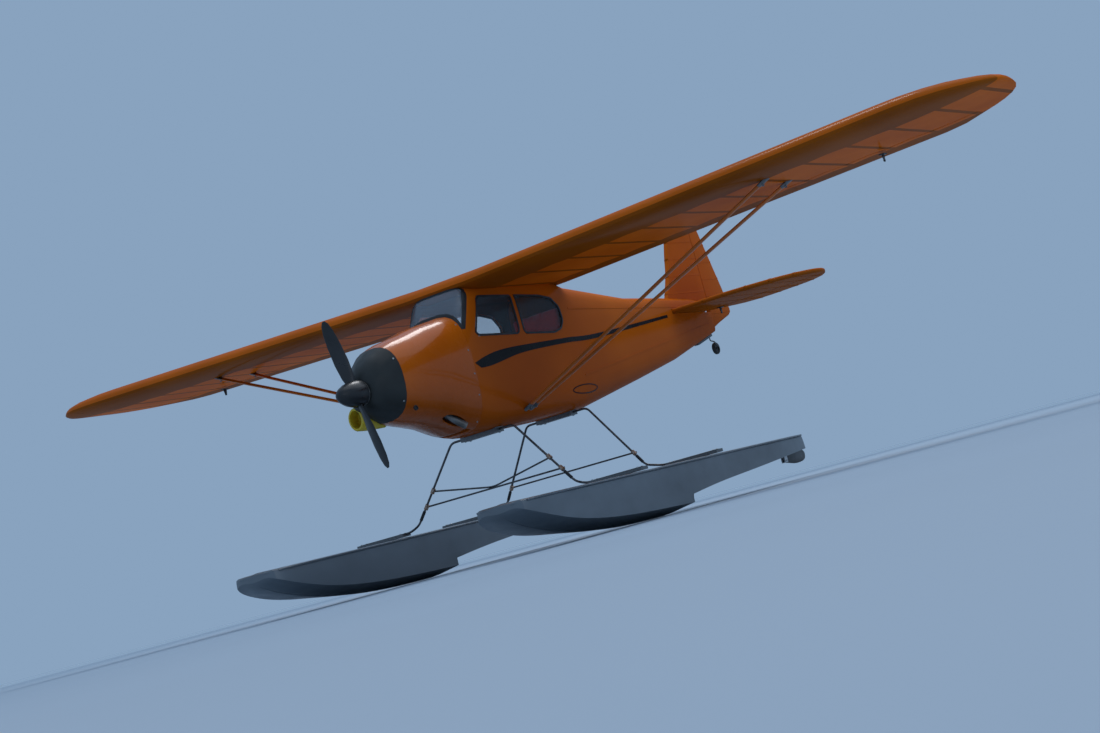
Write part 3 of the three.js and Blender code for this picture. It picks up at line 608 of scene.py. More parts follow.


# Painted shade: the card is near-black so that the cabin looks dim inside.
cabin_card_painted_shade = make_finish(
    "grey_card_painted_shade",
    tones=(CARD_FIBRE, (0.030, 0.028, 0.027), (0.050, 0.047, 0.044)),
    gloss=(CARD_FIBRE, 0.75, 0.92),
    bumps=[(CARD_FIBRE, 0.0001, 0.6)],
)
lining = skin_of("fuselage", "cabin_lining")
for point, outward in LINING_ENDS:
    saw_off(point, outward, close=False)
pick(lambda middle, normal: middle.y * normal.y < 0 and abs(normal.y) > FACES_ACROSS)
bpy.ops.mesh.select_all(action="INVERT")
bpy.ops.mesh.delete(type="FACE")
modify(lining, "SOLIDIFY", thickness=CARD, offset=1)
finish_piece(lining, cabin_card_painted_shade)
finish_piece(add_block("headliner", ROOF_MIDDLE, ROOF_SIZE, ROOF_EDGE), cabin_card_painted_shade)

# CABIN FLOOR
# Thin birch plywood glued between the body sides, with its grain along the body, seen through the windows.
# It carries the rear seat.
PLY_GRAIN = (30.0, 6.0, (0.12, 1, 1))
plywood = make_finish(
    "plywood",
    tones=(PLY_GRAIN, (0.33, 0.20, 0.095), (0.50, 0.335, 0.18)),
    gloss=(PLY_GRAIN, 0.45, 0.65),
    bumps=[(PLY_GRAIN, 0.0003, 0.5)],
)
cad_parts["cabin_floor"].data.materials.clear()
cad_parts["cabin_floor"].data.materials.append(plywood)

# REAR SEAT
# A foam cushion and back covered in red cloth, sewn with two channels from front to back and from top to
# bottom. They stand on the cabin floor against its rear wall.
# Each row: name, lowest and highest corner, and how far a point may swell.
SEAT_PADS = [
    ("seat_cushion", (0.0628, -0.050, 0.2914), (0.120, 0.050, 0.334), 0.0026),
    ("seat_back", (0.047, -0.050, 0.2914), (0.0622, 0.050, 0.406), 0.0016),
]
START_SMALLER = Vector((2, 3, 2))
PAD_ROUND = 0.25
SEAMS = (-0.0165, 0.0165)
SEAM_HALF = 0.0016
SEAM_DEPTH = (0.93, 1, 0.95)
PAD_VOXEL = 0.0022
PAD_PRESSURE = 4.0
PAD_FRAMES = 20
WEAVE_DEPTH, WEAVE_STRENGTH = 0.0002, 0.6


def stuff(pad, limit):
    """Swells a pad with the cloth simulation, and keeps each point within a distance of where it was."""
    before = [corner.co.copy() for corner in pad.data.vertices]
    stuffing = pad.modifiers.new("stuffing", "CLOTH")
    stuffing.settings.use_pressure = True
    stuffing.settings.uniform_pressure_force = PAD_PRESSURE
    stuffing.settings.effector_weights.gravity = 0
    stuffing.settings.quality = 4
    stuffing.point_cache.frame_start = 1
    stuffing.point_cache.frame_end = PAD_FRAMES
    for moment in range(1, PAD_FRAMES + 1):
        bpy.context.scene.frame_set(moment)
    alone(pad)
    bpy.ops.object.modifier_apply(modifier="stuffing")
    for corner, old in zip(pad.data.vertices, before):
        moved = corner.co - old
        if moved.length > limit:
            corner.co = old + moved.normalized() * limit
    bpy.context.scene.frame_set(1)


def calculate(material, operation, *values):
    """A value worked out from one or two others, of which the second may be a plain number."""
    step = add_node(material, "ShaderNodeMath", operation=operation)
    for socket, value in zip(step.inputs, values):
        if isinstance(value, float):
            socket.default_value = value
        else:
            wire(material, value, socket)
    return step.outputs["Value"]


seat_cloth = make_finish(
    "seat_cloth",
    tones=(160.0, (0.80, 0.026, 0.018), (0.96, 0.045, 0.030)),
    sockets={"Sheen Weight": 0.4, "Roughness": 0.85},
)
weave_place = add_node(seat_cloth, "ShaderNodeTexCoord")
threads = None
for way in ("X", "Y", "Z"):
    weave = add_node(seat_cloth, "ShaderNodeTexWave", {"Scale": 500.0, "Distortion": 0.4}, bands_direction=way)
    wire(seat_cloth, weave_place.outputs["Object"], weave.inputs["Vector"])
    weave = weave.outputs["Fac"]
    threads = calculate(seat_cloth, "ADD", threads, weave) if threads else weave
wire(seat_cloth, relief(seat_cloth, threads, WEAVE_DEPTH, WEAVE_STRENGTH), "Normal")
for name, low, high, swell in SEAT_PADS:
    low, high = Vector(low), Vector(high)
    middle = (low + high) / 2
    start = high - low - START_SMALLER * swell
    pad = add_block(name, middle, start, min(start) * PAD_ROUND, 3)
    close_edit()
    pad.data.remesh_voxel_size = PAD_VOXEL
    bpy.ops.object.voxel_remesh()
    stuff(pad, swell)
    open_edit()
    for seam in SEAMS:
        pick(lambda place, normal: abs(place.y - seam) < SEAM_HALF, "VERT")
        bpy.ops.transform.resize(value=SEAM_DEPTH, center_override=middle)
    pick(lambda place, normal: place.z < low.z, "VERT")
    bpy.ops.transform.resize(value=(1, 1, 0), center_override=(0, 0, low.z))
    modify(pad, "SUBSURF", levels=1, render_levels=1)
    finish_piece(pad, seat_cloth, crease=80)
    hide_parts("rear_seat")

# COWL
# A glass-cloth shell laid up in a mould and sprayed to match the film. It closes over the engine and is
# screwed to the firewall's rim.
# The cowl paint carries the same painted shade, darker brown on faces that look down.
cowl_paint = make_finish(
    "cowl_paint",
    tones=(6.0, FILM_SHADE, FILM_ORANGE),
    gloss=(50.0, 0.2, 0.32),
    bumps=[(420.0, ORANGE_PEEL, 0.6)],
    sockets={"Specular IOR Level": 0.1, "Coat Weight": 0.32, "Coat Roughness": 0.05},
    below=UNDERSIDE_PAINTED_SHADE,
)
cowl_shell = dress("cowl", "cowl_shell", cowl_paint, crease=38)

# COWL VENT
# A small rubber plug pushed into the drain hole low on the cowl's port side, near the nose bowl. Its face is
# dished.
PLUG_RADIUS, PLUG_DEPTH = 0.0042, 0.003
PLUG_RIM, PLUG_DISH = 0.0011, 0.0012
PLUG_PLACE = (0.5330, 0.0515, 0.2650)
PLUG_TURN = (math.radians(-78), 0, math.radians(-9))
SQUARE_ON = 0.9


def add_disc(name, radius, depth, place, turn, corners):
    """A short cylinder round a point, open for editing."""
    drop_all()
    bpy.ops.mesh.primitive_cylinder_add(
        vertices=corners, radius=radius, depth=depth, location=place, rotation=turn
    )
    return begin(name)


def pick_facing(*ways, near=None, reach=0.0):
    """Selects the faces that look one of some ways, or only those within reach of a point."""
    ways = [Vector(way) for way in ways]
    pick(
        lambda middle, normal: any(normal.dot(way) > SQUARE_ON for way in ways)
        and (near is None or (middle - near).length < reach)
    )


def sink_face(rim, step, **settings):
    """Insets the selected faces by a rim, and moves what is inside it out or in by a step."""
    bpy.ops.mesh.inset(thickness=rim, **settings)
    bpy.ops.mesh.extrude_region_shrink_fatten(TRANSFORM_OT_shrink_fatten={"value": step})


cowl_plug = add_disc("cowl_plug", PLUG_RADIUS, PLUG_DEPTH, PLUG_PLACE, PLUG_TURN, 24)
pick_facing((0, 1, 0))
sink_face(PLUG_RIM, -PLUG_DISH)
finish_piece(cowl_plug, rubber)

# NOSE BOWL
# A bowl spun from aluminium sheet and painted dark grey. It closes the front of the cowl round the spinner,
# and its mouth lets the cooling air in.
nose_paint = make_finish(
    "nose_paint",
    tones=(14.0, (0.021, 0.023, 0.022), (0.036, 0.039, 0.037)),
    gloss=(60.0, 0.3, 0.5),
    bumps=[(500.0, ORANGE_PEEL, 0.6)],
    sockets={"Specular IOR Level": 0.3},
)
nose_bowl = dress("cowl_nose", "nose_bowl", nose_paint, crease=38)

# AIR SCOOP
# A scoop moulded in yellow plastic, pushed on the bowl's lower starboard edge. It is open to the front, to
# catch cooling air.
yellow_plastic = make_finish(
    "yellow_plastic",
    tones=(30.0, (0.60, 0.42, 0.02), (0.74, 0.55, 0.035)),
    gloss=(80.0, 0.35, 0.5),
    bumps=[(700.0, 0.00006, 0.6)],
    sockets={"Subsurface Weight": 0.05},
)
dress("nose_scoop", "air_scoop", yellow_plastic)

# ENGINE
# A small four-stroke, seen as cast metal through the bowl's mouth and the exhaust slot. Its case is bolted
# # to the firewall.
cast_metal = make_finish(
    "cast_metal",
    tones=((40.0, 5.0), (0.16, 0.145, 0.13), (0.34, 0.33, 0.32)),
    gloss=(160.0, 0.4, 0.65),
    bumps=[((800.0, 4.0), 0.0002, 0.7)],
    sockets={"Metallic": 0.9},
)
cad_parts["engine"].data.materials.clear()
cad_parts["engine"].data.materials.append(cast_metal)

# PROPELLER AND SPINNER
# Two blades moulded in black nylon on one hub, clamped on the engine's shaft under a black spinner that is
# notched round their roots.
black_nylon = make_finish(
    "black_nylon",
    tones=((24.0, 4.0), (0.010, 0.010, 0.011), (0.022, 0.022, 0.024)),
    gloss=(90.0, 0.26, 0.42),
    bumps=[(600.0, 0.00005, 0.6)],
)
for node, name in (("propeller", "propeller_blades"), ("spinner", "spinner_shell")):
    dress(node, name, black_nylon, crease=50, body="propeller")

# SPINNER PLATE
# The plate behind the spinner, turned from metal with a raised face and a rounded rim. The shaft's nut
# clamps it between the spinner and the engine's drive washer.
SPINNER_PLATE = {"radius": 0.0206, "depth": 0.0022, "place": (0.5958, 0, 0.307)}
PLATE_RIM, PLATE_FACE, PLATE_ROUND = 0.0012, 0.0006, 0.0006
ACROSS_THE_SHAFT = (0, math.pi / 2, 0)


def pull(move):
    """Extrudes the selected faces by a move."""
    bpy.ops.mesh.extrude_region_move(TRANSFORM_OT_translate={"value": move})


back_plate = add_disc("spinner_plate", **SPINNER_PLATE, turn=ACROSS_THE_SHAFT, corners=48)
pick_facing((1, 0, 0))
bpy.ops.mesh.inset(thickness=PLATE_RIM)
pull((PLATE_FACE, 0, 0))
pick_facing((-1, 0, 0))
bevel(PLATE_ROUND, 2)
finish_piece(back_plate, cast_metal, body="propeller")

# WING PANELS
# Built-up wings: a sheeted leading edge, a strip along the trailing edge and ribs between them, all covered
# in film that sags a little between the ribs. The tips are rounded.
CHORD = 0.305
ROOT_Y = 0.0663
LEADING_X = 0.334
LEADING_Z = 0.460
CHORD_SLOPE = 0.0443
DIHEDRAL = 0.031
THICKNESS = 0.12
THICKNESS_CURVE = (0.2969, -0.126, -0.3516, 0.2843, -0.1015)
EDGE_THICKNESS = 0.0026
CAMBER = 0.03
CAMBER_AT = 0.4
SECTION_STEPS = 16
RIB_BAYS = 10
STRAIGHT_END = 0.82
HALF_BAY = (STRAIGHT_END - ROOT_Y) / RIB_BAYS / 2
SAG = 0.93
SHEET_END = LEADING_X - 0.30 * CHORD
STRIP_START = LEADING_X - 0.86 * CHORD
RIB_EDGE = (0.0035, 0.0055)
WOOD_EDGE = 0.003
# The range of face directions over which the wood's painted shade fades out.
WING_SHADE_TURN = (-0.2, 0.4)
TIP_LIFT = 0.03
SAME_STATION = 1e-4
# Each row of the tip: span station, then how far its front and its back lie behind the straight edge.
TIP = [
    (0.842, 0.0005, 0.300), (0.860, 0.001, 0.295), (0.900, 0.007, 0.269), (0.930, 0.020, 0.250),
    (0.950, 0.035, 0.235), (0.970, 0.052, 0.215), (0.985, 0.071, 0.193), (0.994, 0.088, 0.171),
    (0.999, 0.104, 0.147), (1.000, 0.114, 0.130),
]


def start_section(name, y):
    """A flat face in the shape of the wing section, back over the top and forward underneath."""
    shares = [(1 - math.cos(math.pi * k / SECTION_STEPS)) / 2 for k in range(SECTION_STEPS + 1)]
    corners = []
    for side, line in ((1, shares), (-1, [1 - share for share in shares[:-1]])):
        for share in line:
            if share < CAMBER_AT:
                mean = CAMBER / CAMBER_AT**2 * (2 * CAMBER_AT * share - share**2)
            else:
                mean = CAMBER / (1 - CAMBER_AT) ** 2 * (1 - 2 * CAMBER_AT + 2 * CAMBER_AT * share - share**2)
            powers = (math.sqrt(share), share, share**2, share**3, share**4)
            curve = sum(factor * power for factor, power in zip(THICKNESS_CURVE, powers))
            half = 5 * THICKNESS * curve + EDGE_THICKNESS * share
            height = LEADING_Z - CHORD_SLOPE * CHORD * share + CHORD * (mean + side * half)
            corners.append((LEADING_X - CHORD * share, y, height))
    section = flat_face(name, corners)
    pick_all()
    return section


def mean_height(x, y):
    """The height half way between the wing's two surfaces, behind the thickest part."""
    share = (LEADING_X - x) / CHORD
    line = LEADING_Z - CHORD_SLOPE * (LEADING_X - x) + DIHEDRAL * max(y - ROOT_Y, 0)
    return line + CHORD * CAMBER * (1 - ((share - CAMBER_AT) / (1 - CAMBER_AT)) ** 2)


# Over the sheeted wood the film is browner, the wood's own tone through it, and painted darker on faces that look
# down as painted shade; over the open bays it is painted brighter, as painted light shining through the film.
wing_film = make_finish(
    "wing_film",
    gloss=(30.0, 0.34, 0.52),
    bumps=(((14.0, 2.0, (1, 0.35, 1)), *WRINKLES[1:]), ((700.0, 1.0), ORANGE_PEEL, 0.4)),
    sockets={"Specular IOR Level": 0.0, "Coat Weight": 0.12, "Coat Roughness": 0.16},
)
wing_axes = add_node(wing_film, "ShaderNodeSeparateXYZ")
wing_place = add_node(wing_film, "ShaderNodeTexCoord")
wire(wing_film, wing_place.outputs["Object"], wing_axes.inputs["Vector"])
from_root = calculate(wing_film, "SUBTRACT", calculate(wing_film, "ABSOLUTE", wing_axes.outputs["Y"]), ROOT_Y)
to_rib = calculate(wing_film, "PINGPONG", from_root, HALF_BAY)
# Painted light: the open bays between ribs are painted brighter, as if lit through the film from behind.
bay_painted_glow_mask = between(wing_film, to_rib, *RIB_EDGE, interpolation_type="SMOOTHSTEP")
for start, end in ((SHEET_END, SHEET_END - WOOD_EDGE), (STRIP_START, STRIP_START + WOOD_EDGE)):
    bay_painted_glow_mask = calculate(wing_film, "MULTIPLY", bay_painted_glow_mask, between(wing_film, wing_axes.outputs["X"], start, end))
wood_grain = grain(wing_film, 6.0)
# Painted shade: the wood's tone turns darker on faces that look down.
wood_painted_shade = two_tone(wing_film, wood_grain, (0.30, 0.070, 0.005), (0.38, 0.092, 0.006))
wood_over = two_tone(wing_film, wood_grain, (0.54, 0.110, 0.006), (0.63, 0.130, 0.007))
bay_painted_glow = two_tone(wing_film, grain(wing_film, 7.0), (0.70, 0.125, 0.006), (0.84, 0.165, 0.008))
wood_with_painted_shade = turned(wing_film, *WING_SHADE_TURN, wood_painted_shade, wood_over)
wire(wing_film, blend_tones(wing_film, bay_painted_glow_mask, wood_with_painted_shade, bay_painted_glow), BASE)

wing_port = start_section("wing_panel_port", ROOT_Y)
for k in range(2 * RIB_BAYS):
    pull((0, HALF_BAY, DIHEDRAL * HALF_BAY))
y, lead, chord = STRAIGHT_END, 0.0, CHORD
for station, front, back in TIP:
    nose = LEADING_Z - CHORD_SLOPE * lead + DIHEDRAL * (y - ROOT_Y) + TIP_LIFT * lead
    drop = -CHORD_SLOPE * (front - lead) + TIP_LIFT * (front - lead)
    share = (back - front) / chord
    pull((0, 0, 0))
    bpy.ops.transform.resize(value=(share, 1, share), center_override=(LEADING_X - lead, y, nose))
    bpy.ops.transform.translate(value=(lead - front, station - y, DIHEDRAL * (station - y) + drop))
    y, lead, chord = station, front, back - front
for k in range(RIB_BAYS):
    middle = ROOT_Y + (2 * k + 1) * HALF_BAY
    pick(lambda place, normal: abs(place.y - middle) < SAME_STATION and STRIP_START < place.x < SHEET_END, "VERT")
    centre = (0, middle, mean_height((STRIP_START + SHEET_END) / 2, middle))
    bpy.ops.transform.resize(value=(1, 1, SAG), center_override=centre)
face_out()
close_edit()

# AILERONS
# Cut from the outer trailing edge of each wing panel, covered in the same film, and bevelled to the hinge
# line so they swing both ways.
HINGE_X = 0.094
AILERON_IN = 0.560
AILERON_OUT = 0.900
HINGE_GAP = 0.0003
BEVEL_AHEAD, BEVEL_UP = 64, 30
BAY_BACK = -0.05
BAY_SLACK = 0.002
BAY_MIDDLE_Z, BAY_HEIGHT = 0.47, 0.3

hinge_y = (AILERON_IN + AILERON_OUT) / 2
hinge_point = (HINGE_X, hinge_y, mean_height(HINGE_X, hinge_y))
cuts = [((0, AILERON_IN, 0), (0, -1, 0)), ((0, AILERON_OUT, 0), (0, 1, 0))]
for side in (1, -1):
    cuts.append((hinge_point, (BEVEL_AHEAD, -side * BEVEL_UP * DIHEDRAL, side * BEVEL_UP)))
aileron = second_of(wing_port, "aileron_skin_port")
for point, outward in cuts:
    saw_off(point, Vector(outward).normalized())
face_out()
finish_pair(aileron, wing_film, crease=32, body="aileron_port", node="aileron_port")

bay_front = HINGE_X + HINGE_GAP
bay_middle = ((bay_front + BAY_BACK) / 2, hinge_y, BAY_MIDDLE_Z)
bay_size = (bay_front - BAY_BACK, AILERON_OUT - AILERON_IN + BAY_SLACK, BAY_HEIGHT)
aileron_bay = add_block("aileron_bay", bay_middle, bay_size)
modify(wing_port, "BOOLEAN", object=aileron_bay, operation="DIFFERENCE", solver="EXACT")
bpy.data.objects.remove(aileron_bay)
finish_pair(wing_port, wing_film, crease=32, node="wing_port")

# WING CENTRE SECTION
# The short middle of the wing over the cabin, between the two root ribs, built and covered as the panels are.
# The panels slide on a tube through it, so its ends are flat.
CENTRE_HALF = 0.066
wing_centre = start_section("wing_centre_skin", -CENTRE_HALF)
pull((0, 2 * CENTRE_HALF, 0))
face_out()
finish_piece(wing_centre, wing_film, crease=32, node="wing_centre")

# FLOATS
# Sheeted wooden floats, sanded and painted silver. Each has a V bottom with a step half way, a flat deck with
# rounded edges, and a bow that turns up.
SHARP_CORNER = math.radians(24)
float_paint = make_finish(
    "float_silver",
    tones=((9.0, 4.0, (0.4, 1, 1)), (0.140, 0.157, 0.174), (0.185, 0.207, 0.228)),
    gloss=(40.0, 0.28, 0.46),
    bumps=[((900.0, 2.0), 0.00008, 0.5)],
    sockets={"Metallic": 0.45, "Coat Weight": 0.12, "Coat Roughness": 0.2},
)
float_port = skin_of("float_port", "float_hull_port", join_flat=False)
bpy.ops.mesh.tris_convert_to_quads(face_threshold=math.radians(60), shape_threshold=math.radians(80))
bpy.ops.mesh.select_mode(type="EDGE")
bpy.ops.mesh.select_all(action="DESELECT")
bpy.ops.mesh.edges_select_sharp(sharpness=SHARP_CORNER)
bpy.ops.transform.edge_crease(value=1)
modify(float_port, "SUBSURF", levels=2, render_levels=2)
finish_pair(float_port, float_paint, crease=26, node="float_port")

# FLOAT RAILS
# Round wooden rails glued along both deck edges of each float, and a strip let in along its keel, stern and
# deck middle, all sanded and painted with it.
FLOAT_MIDDLE = 0.247
DECK_EDGE = [
    (0.652, 0.046, 0.0760), (0.630, 0.0535, 0.0765), (0.600, 0.0575, 0.0765), (0.552, 0.0607, 0.0765),
    (0.460, 0.0622, 0.0765), (0.215, 0.0624, 0.0765), (-0.097, 0.0603, 0.0765), (-0.210, 0.0573, 0.0765),
    (-0.230, 0.0552, 0.0765),
]
RAIL_RADIUS = 0.0016
KEEL_HALF = 0.0014
KEEL_RISE = 0.0008
KEEL_LENGTHWISE = 0.9975
KEEL_CENTRE = (0.2125, FLOAT_MIDDLE, 0.04)


def rod(name, points, radius, corners):
    """A round rod extruded from point to point, closed at both ends."""
    points = [Vector(point) for point in points]
    turn = (points[1] - points[0]).to_track_quat("Z", "Y").to_euler()
    drop_all()
    bpy.ops.mesh.primitive_circle_add(
        vertices=corners, radius=radius, fill_type="NGON", location=points[0], rotation=turn
    )
    piece = begin(name)
    pick_all()
    for here, there in zip(points, points[1:]):
        pull(there - here)
    face_out()
    close_edit()
    return piece


keel = second_of(float_port, "float_keel_port")
for side in (1, -1):
    saw_off((0, FLOAT_MIDDLE + side * KEEL_HALF, 0), (0, side, 0))
face_out()
bpy.ops.transform.shrink_fatten(value=KEEL_RISE)
bpy.ops.transform.resize(value=(KEEL_LENGTHWISE, 1, 1), center_override=KEEL_CENTRE)
finish_pair(keel, float_paint, crease=26)
rails = []
for side in (1, -1):
    line = [(x, FLOAT_MIDDLE + side * half, z) for x, half, z in DECK_EDGE]
    rails.append(rod("rail", line, RAIL_RADIUS, 8))
finish_pair(join_pieces(rails, "float_rails_port"), float_paint, crease=50)

# WING STRUTS
# Streamlined spruce struts painted in the covering's colour. Each end sits in a folded metal ferrule, with a
# bolt through it from below.
STRUTS = {
    "front": ((0.249, 0.0625, 0.2333), (0.242, 0.598, 0.4610)),
    "rear": ((0.2330, 0.0625, 0.2333), (0.151, 0.592, 0.4605)),
}
FERRULE = 0.014
FERRULE_WALL = 0.0005
BOLT_INSET = 0.008
BOLT_DROP = 0.0027
BOLT_SIZE = (0.0021, 0.0016)
# The parts of a screw, as shares of its radius or its height.
SCREW_DOME, SCREW_TOP, RECESS_WIDTH, RECESS_DEPTH = 0.4, 0.3, 0.18, 0.45
STRUT_GRAIN = (40.0, 5.0, (1, 0.15, 0.3))
BRUSHED = (300.0, 4.0, (0.1, 1, 1))
ROLLED = (240.0, 4.0, (0.15, 1, 1))

strut_paint = make_finish(
    "strut_paint",
    tones=(STRUT_GRAIN, (0.46, 0.100, 0.007), (0.60, 0.135, 0.008)),
    gloss=(STRUT_GRAIN, 0.3, 0.45),
    bumps=[(STRUT_GRAIN, 0.0002, 0.4)],
    sockets={"Specular IOR Level": 0.35},
)
bright_metal = make_finish(
    "bright_metal",
    tones=(BRUSHED, (0.36, 0.37, 0.38), (0.52, 0.53, 0.54)),
    gloss=(BRUSHED, 0.28, 0.45),
    bumps=[(BRUSHED, 0.00005, 0.5)],
    sockets={"Metallic": 1.0},
)
dull_alloy = make_finish(
    "dull_alloy",
    tones=(ROLLED, (0.15, 0.155, 0.16), (0.24, 0.245, 0.25)),
    gloss=(ROLLED, 0.4, 0.6),
    bumps=[(ROLLED, 0.00005, 0.5)],
    sockets={"Metallic": 0.9},
)


def make_screw(radius, height):
    """A domed cross-head screw at the origin, facing up."""
    screw = add_disc("screw_master", radius, height, (0, 0, height / 2), (0, 0, 0), 16)
    pick_facing((0, 0, 1))
    bevel(radius * SCREW_DOME, 3)
    pick_facing((0, 0, 1), near=Vector((0, 0, height)), reach=radius * SCREW_TOP)
    bpy.ops.mesh.inset(thickness=radius * RECESS_WIDTH)
    pull((0, 0, -height * RECESS_DEPTH))
    close_edit()
    return screw


def place_copies(master, places, name):
    """Copies a small part to each place, turned to face outward, and joins the copies into one piece."""
    copies = []
    for point, outward in places:
        copy = bpy.data.objects.new(name, master.data.copy())
        bpy.context.scene.collection.objects.link(copy)
        up = Vector(outward).normalized()
        ahead = Vector((0, 1, 0)) if abs(up.x) > SQUARE_ON else Vector((1, 0, 0))
        ahead = (ahead - ahead.dot(up) * up).normalized()
        turn = Matrix((ahead, up.cross(ahead), up)).transposed().to_4x4()
        copy.data.transform(Matrix.Translation(Vector(point)) @ turn)
        copies.append(copy)
    return join_pieces(copies, name)


bolt = make_screw(*BOLT_SIZE)
for name, (foot, top) in STRUTS.items():
    foot, top = Vector(foot), Vector(top)
    along = (top - foot).normalized()
    under = along.cross(Vector((1, 0, 0))).normalized()
    under *= -math.copysign(1, under.z)
    node = "wing_strut_" + name + "_port"
    strut = skin_of(node, "strut_" + name + "_port")
    close_edit()
    fittings, spots = [], []
    for end, inward in ((foot, along), (top, -along)):
        fittings.append(second_of(strut, "ferrule"))
        saw_off(end + inward * FERRULE, inward)
        face_out()
        bpy.ops.transform.shrink_fatten(value=FERRULE_WALL)
        close_edit()
        spots.append((end + inward * BOLT_INSET + under * BOLT_DROP, under))
    fittings.append(place_copies(bolt, spots, "bolts"))
    finish_pair(strut, strut_paint, crease=50, node=node)
    finish_pair(join_pieces(fittings, "strut_ferrules_" + name + "_port"), dull_alloy)

# TAIL SURFACES
# Flat frames of balsa sticks with rounded edges, covered in film that shows each rib as a low ridge. The fin
# and tailplane are glued to the body, and the rudder and elevator are hinged to them.
RIB_WIDTH = 0.0032
RIB_RISE = 0.0005
EDGE_ROUND = 0.0036
FLAT_SIDE, NARROW_EDGE = 0.99, 0.3
# Each row: node, body, film, the axis across its thickness and its middle there, the axis that its ribs are
# counted along, and where they are.
TAIL = [
    ("fin", "airframe", body_film, 1, 0.0, 2, (0.420, 0.455, 0.490, 0.525, 0.556)),
    ("rudder", "rudder", body_film, 1, 0.0, 2, (0.372, 0.408, 0.444, 0.480, 0.516, 0.550)),
    ("tailplane", "airframe", wing_film, 2, 0.380, 1, (0.050, 0.095, 0.140, 0.185, 0.230, 0.268)),
    ("elevator", "elevator", wing_film, 2, 0.380, 1, (0.095, 0.140, 0.185, 0.230, 0.264)),
]


def rib_ridges(piece, name, flat, middle, axis, stations):
    """Thin slices of a flat surface, each a little thicker than it, that stand for ribs under the film."""
    slices = []
    way, grow = Matrix.Identity(3)[axis].copy(), Matrix.Identity(3)[flat].copy()
    for station in stations:
        rib = second_of(piece, "rib")
        for edge, outward in ((station - RIB_WIDTH / 2, -way), (station + RIB_WIDTH / 2, way)):
            saw_off(way * edge, outward)
        close_edit()
        for corner in rib.data.vertices:
            corner.co += grow * math.copysign(RIB_RISE, corner.co[flat] - middle)
        slices.append(rib)
    return join_pieces(slices, name)


for node, body, film, flat, middle, axis, stations in TAIL:
    surface = skin_of(node, node + "_skin")
    bpy.ops.mesh.normals_make_consistent(inside=False)
    bpy.ops.mesh.select_mode(type="EDGE")
    bpy.ops.mesh.select_all(action="DESELECT")
    shape = bmesh.from_edit_mesh(surface.data)
    for edge in shape.edges:
        if len(edge.link_faces) == 2:
            first, second = (abs(face.normal[flat]) for face in edge.link_faces)
            if max(first, second) > FLAT_SIDE and min(first, second) < NARROW_EDGE:
                edge.select_set(True)
    bmesh.update_edit_mesh(surface.data)
    bevel(EDGE_ROUND, 4, clamp=True)
    close_edit()
    if axis == 1:
        stations = [side * at for at in stations for side in (1, -1)]
    ridges = rib_ridges(surface, node + "_ribs", flat, middle, axis, stations)
    finish_piece(surface, film, crease=30, body=body, node=node)
    finish_piece(ridges, film, crease=30, body=body)

# HINGES
# Pinned nylon hinges let into the edges of the fixed and the moving surfaces and glued. Of each, the short
# barrel with the pin shows on the hinge line.
BARREL_RADIUS = 0.0016
BARREL_LENGTH = 0.012
ELEVATOR_HINGES = (0.06, 0.14, 0.22)
RUDDER_HINGES = (0.43, 0.50, 0.56)
AILERON_HINGES = (0.60, 0.73, 0.86)
hinge_lines = [((-0.548, side * at, 0.380), (0, 1, 0)) for at in ELEVATOR_HINGES for side in (1, -1)]
hinge_lines += [((-0.575, 0, at), (0, 0, 1)) for at in RUDDER_HINGES]
for at in AILERON_HINGES:
    for side in (1, -1):
        hinge_lines.append(((HINGE_X, side * at, mean_height(HINGE_X, at)), (0, 1, side * DIHEDRAL)))
barrels = []
for point, way in hinge_lines:
    point, half = Vector(point), Vector(way).normalized() * BARREL_LENGTH / 2
    barrels.append(rod("barrel", (point - half, point - half / 3, point + half), BARREL_RADIUS, 12))
finish_piece(join_pieces(barrels, "hinge_barrels"), black_nylon)

# CONTROL HORNS
# Black nylon horns, each a tapered arm on a foot, screwed to the moving surfaces just behind their hinges.
# A small steel pin goes through the arm's tip, where a pushrod hooks on.
ARM_SIZE = (0.010, 0.0016, 0.013)
ARM_TAPER = (0.4, 1, 1)
FOOT_SIZE = (0.014, 0.009, 0.0016)
FOOT_MIDDLE = (0, 0, 0.0006)
PIN_HEIGHT = 0.0108
PIN_HALF = 0.0022
PIN_RADIUS = 0.0006
HORN_ROUND = (0.0005, 0.0006)
HORN_Y = 0.73
HORN_BACK, HORN_DROP = 0.010, 0.0118
horn_x = HINGE_X - HORN_BACK
horn_z = mean_height(horn_x, HORN_Y) - HORN_DROP
HORNS = {
    "aileron_port": [((horn_x, HORN_Y, horn_z), (0, 0, -1))],
    "aileron_starboard": [((horn_x, -HORN_Y, horn_z), (0, 0, -1))],
    "elevator": [((-0.557, 0.040, 0.3755), (0, 0, -1))],
    "rudder": [((-0.584, 0.0045, 0.400), (0, 1, 0)), ((-0.584, -0.0045, 0.400), (0, -1, 0))],
}
arm = add_block("horn_arm", (0, 0, ARM_SIZE[2] / 2), ARM_SIZE)
pick_facing((0, 0, 1))
bpy.ops.transform.resize(value=ARM_TAPER)
pick_all()
bevel(HORN_ROUND[0], 2)
close_edit()
foot = add_block("horn_foot", FOOT_MIDDLE, FOOT_SIZE)
pick_facing((0, 0, 1))
bevel(HORN_ROUND[1], 2)
close_edit()
pin = rod("horn_pin", [(0, side * PIN_HALF, PIN_HEIGHT) for side in (-1, 0, 1)], PIN_RADIUS, 10)
horn = join_pieces([arm, foot, pin], "horn_master")
for body, places in HORNS.items():
    finish_piece(place_copies(horn, places, "horn_" + body), black_nylon, body=body)
bpy.data.objects.remove(horn)

# UNDERCARRIAGE WIRES
# Spring-steel wire bent cold, with thinner steel spreaders bound on with copper wire and soldered, and dark
# shrink sleeve slipped over each leg under the joint.
JOINT_HEIGHT = 0.119
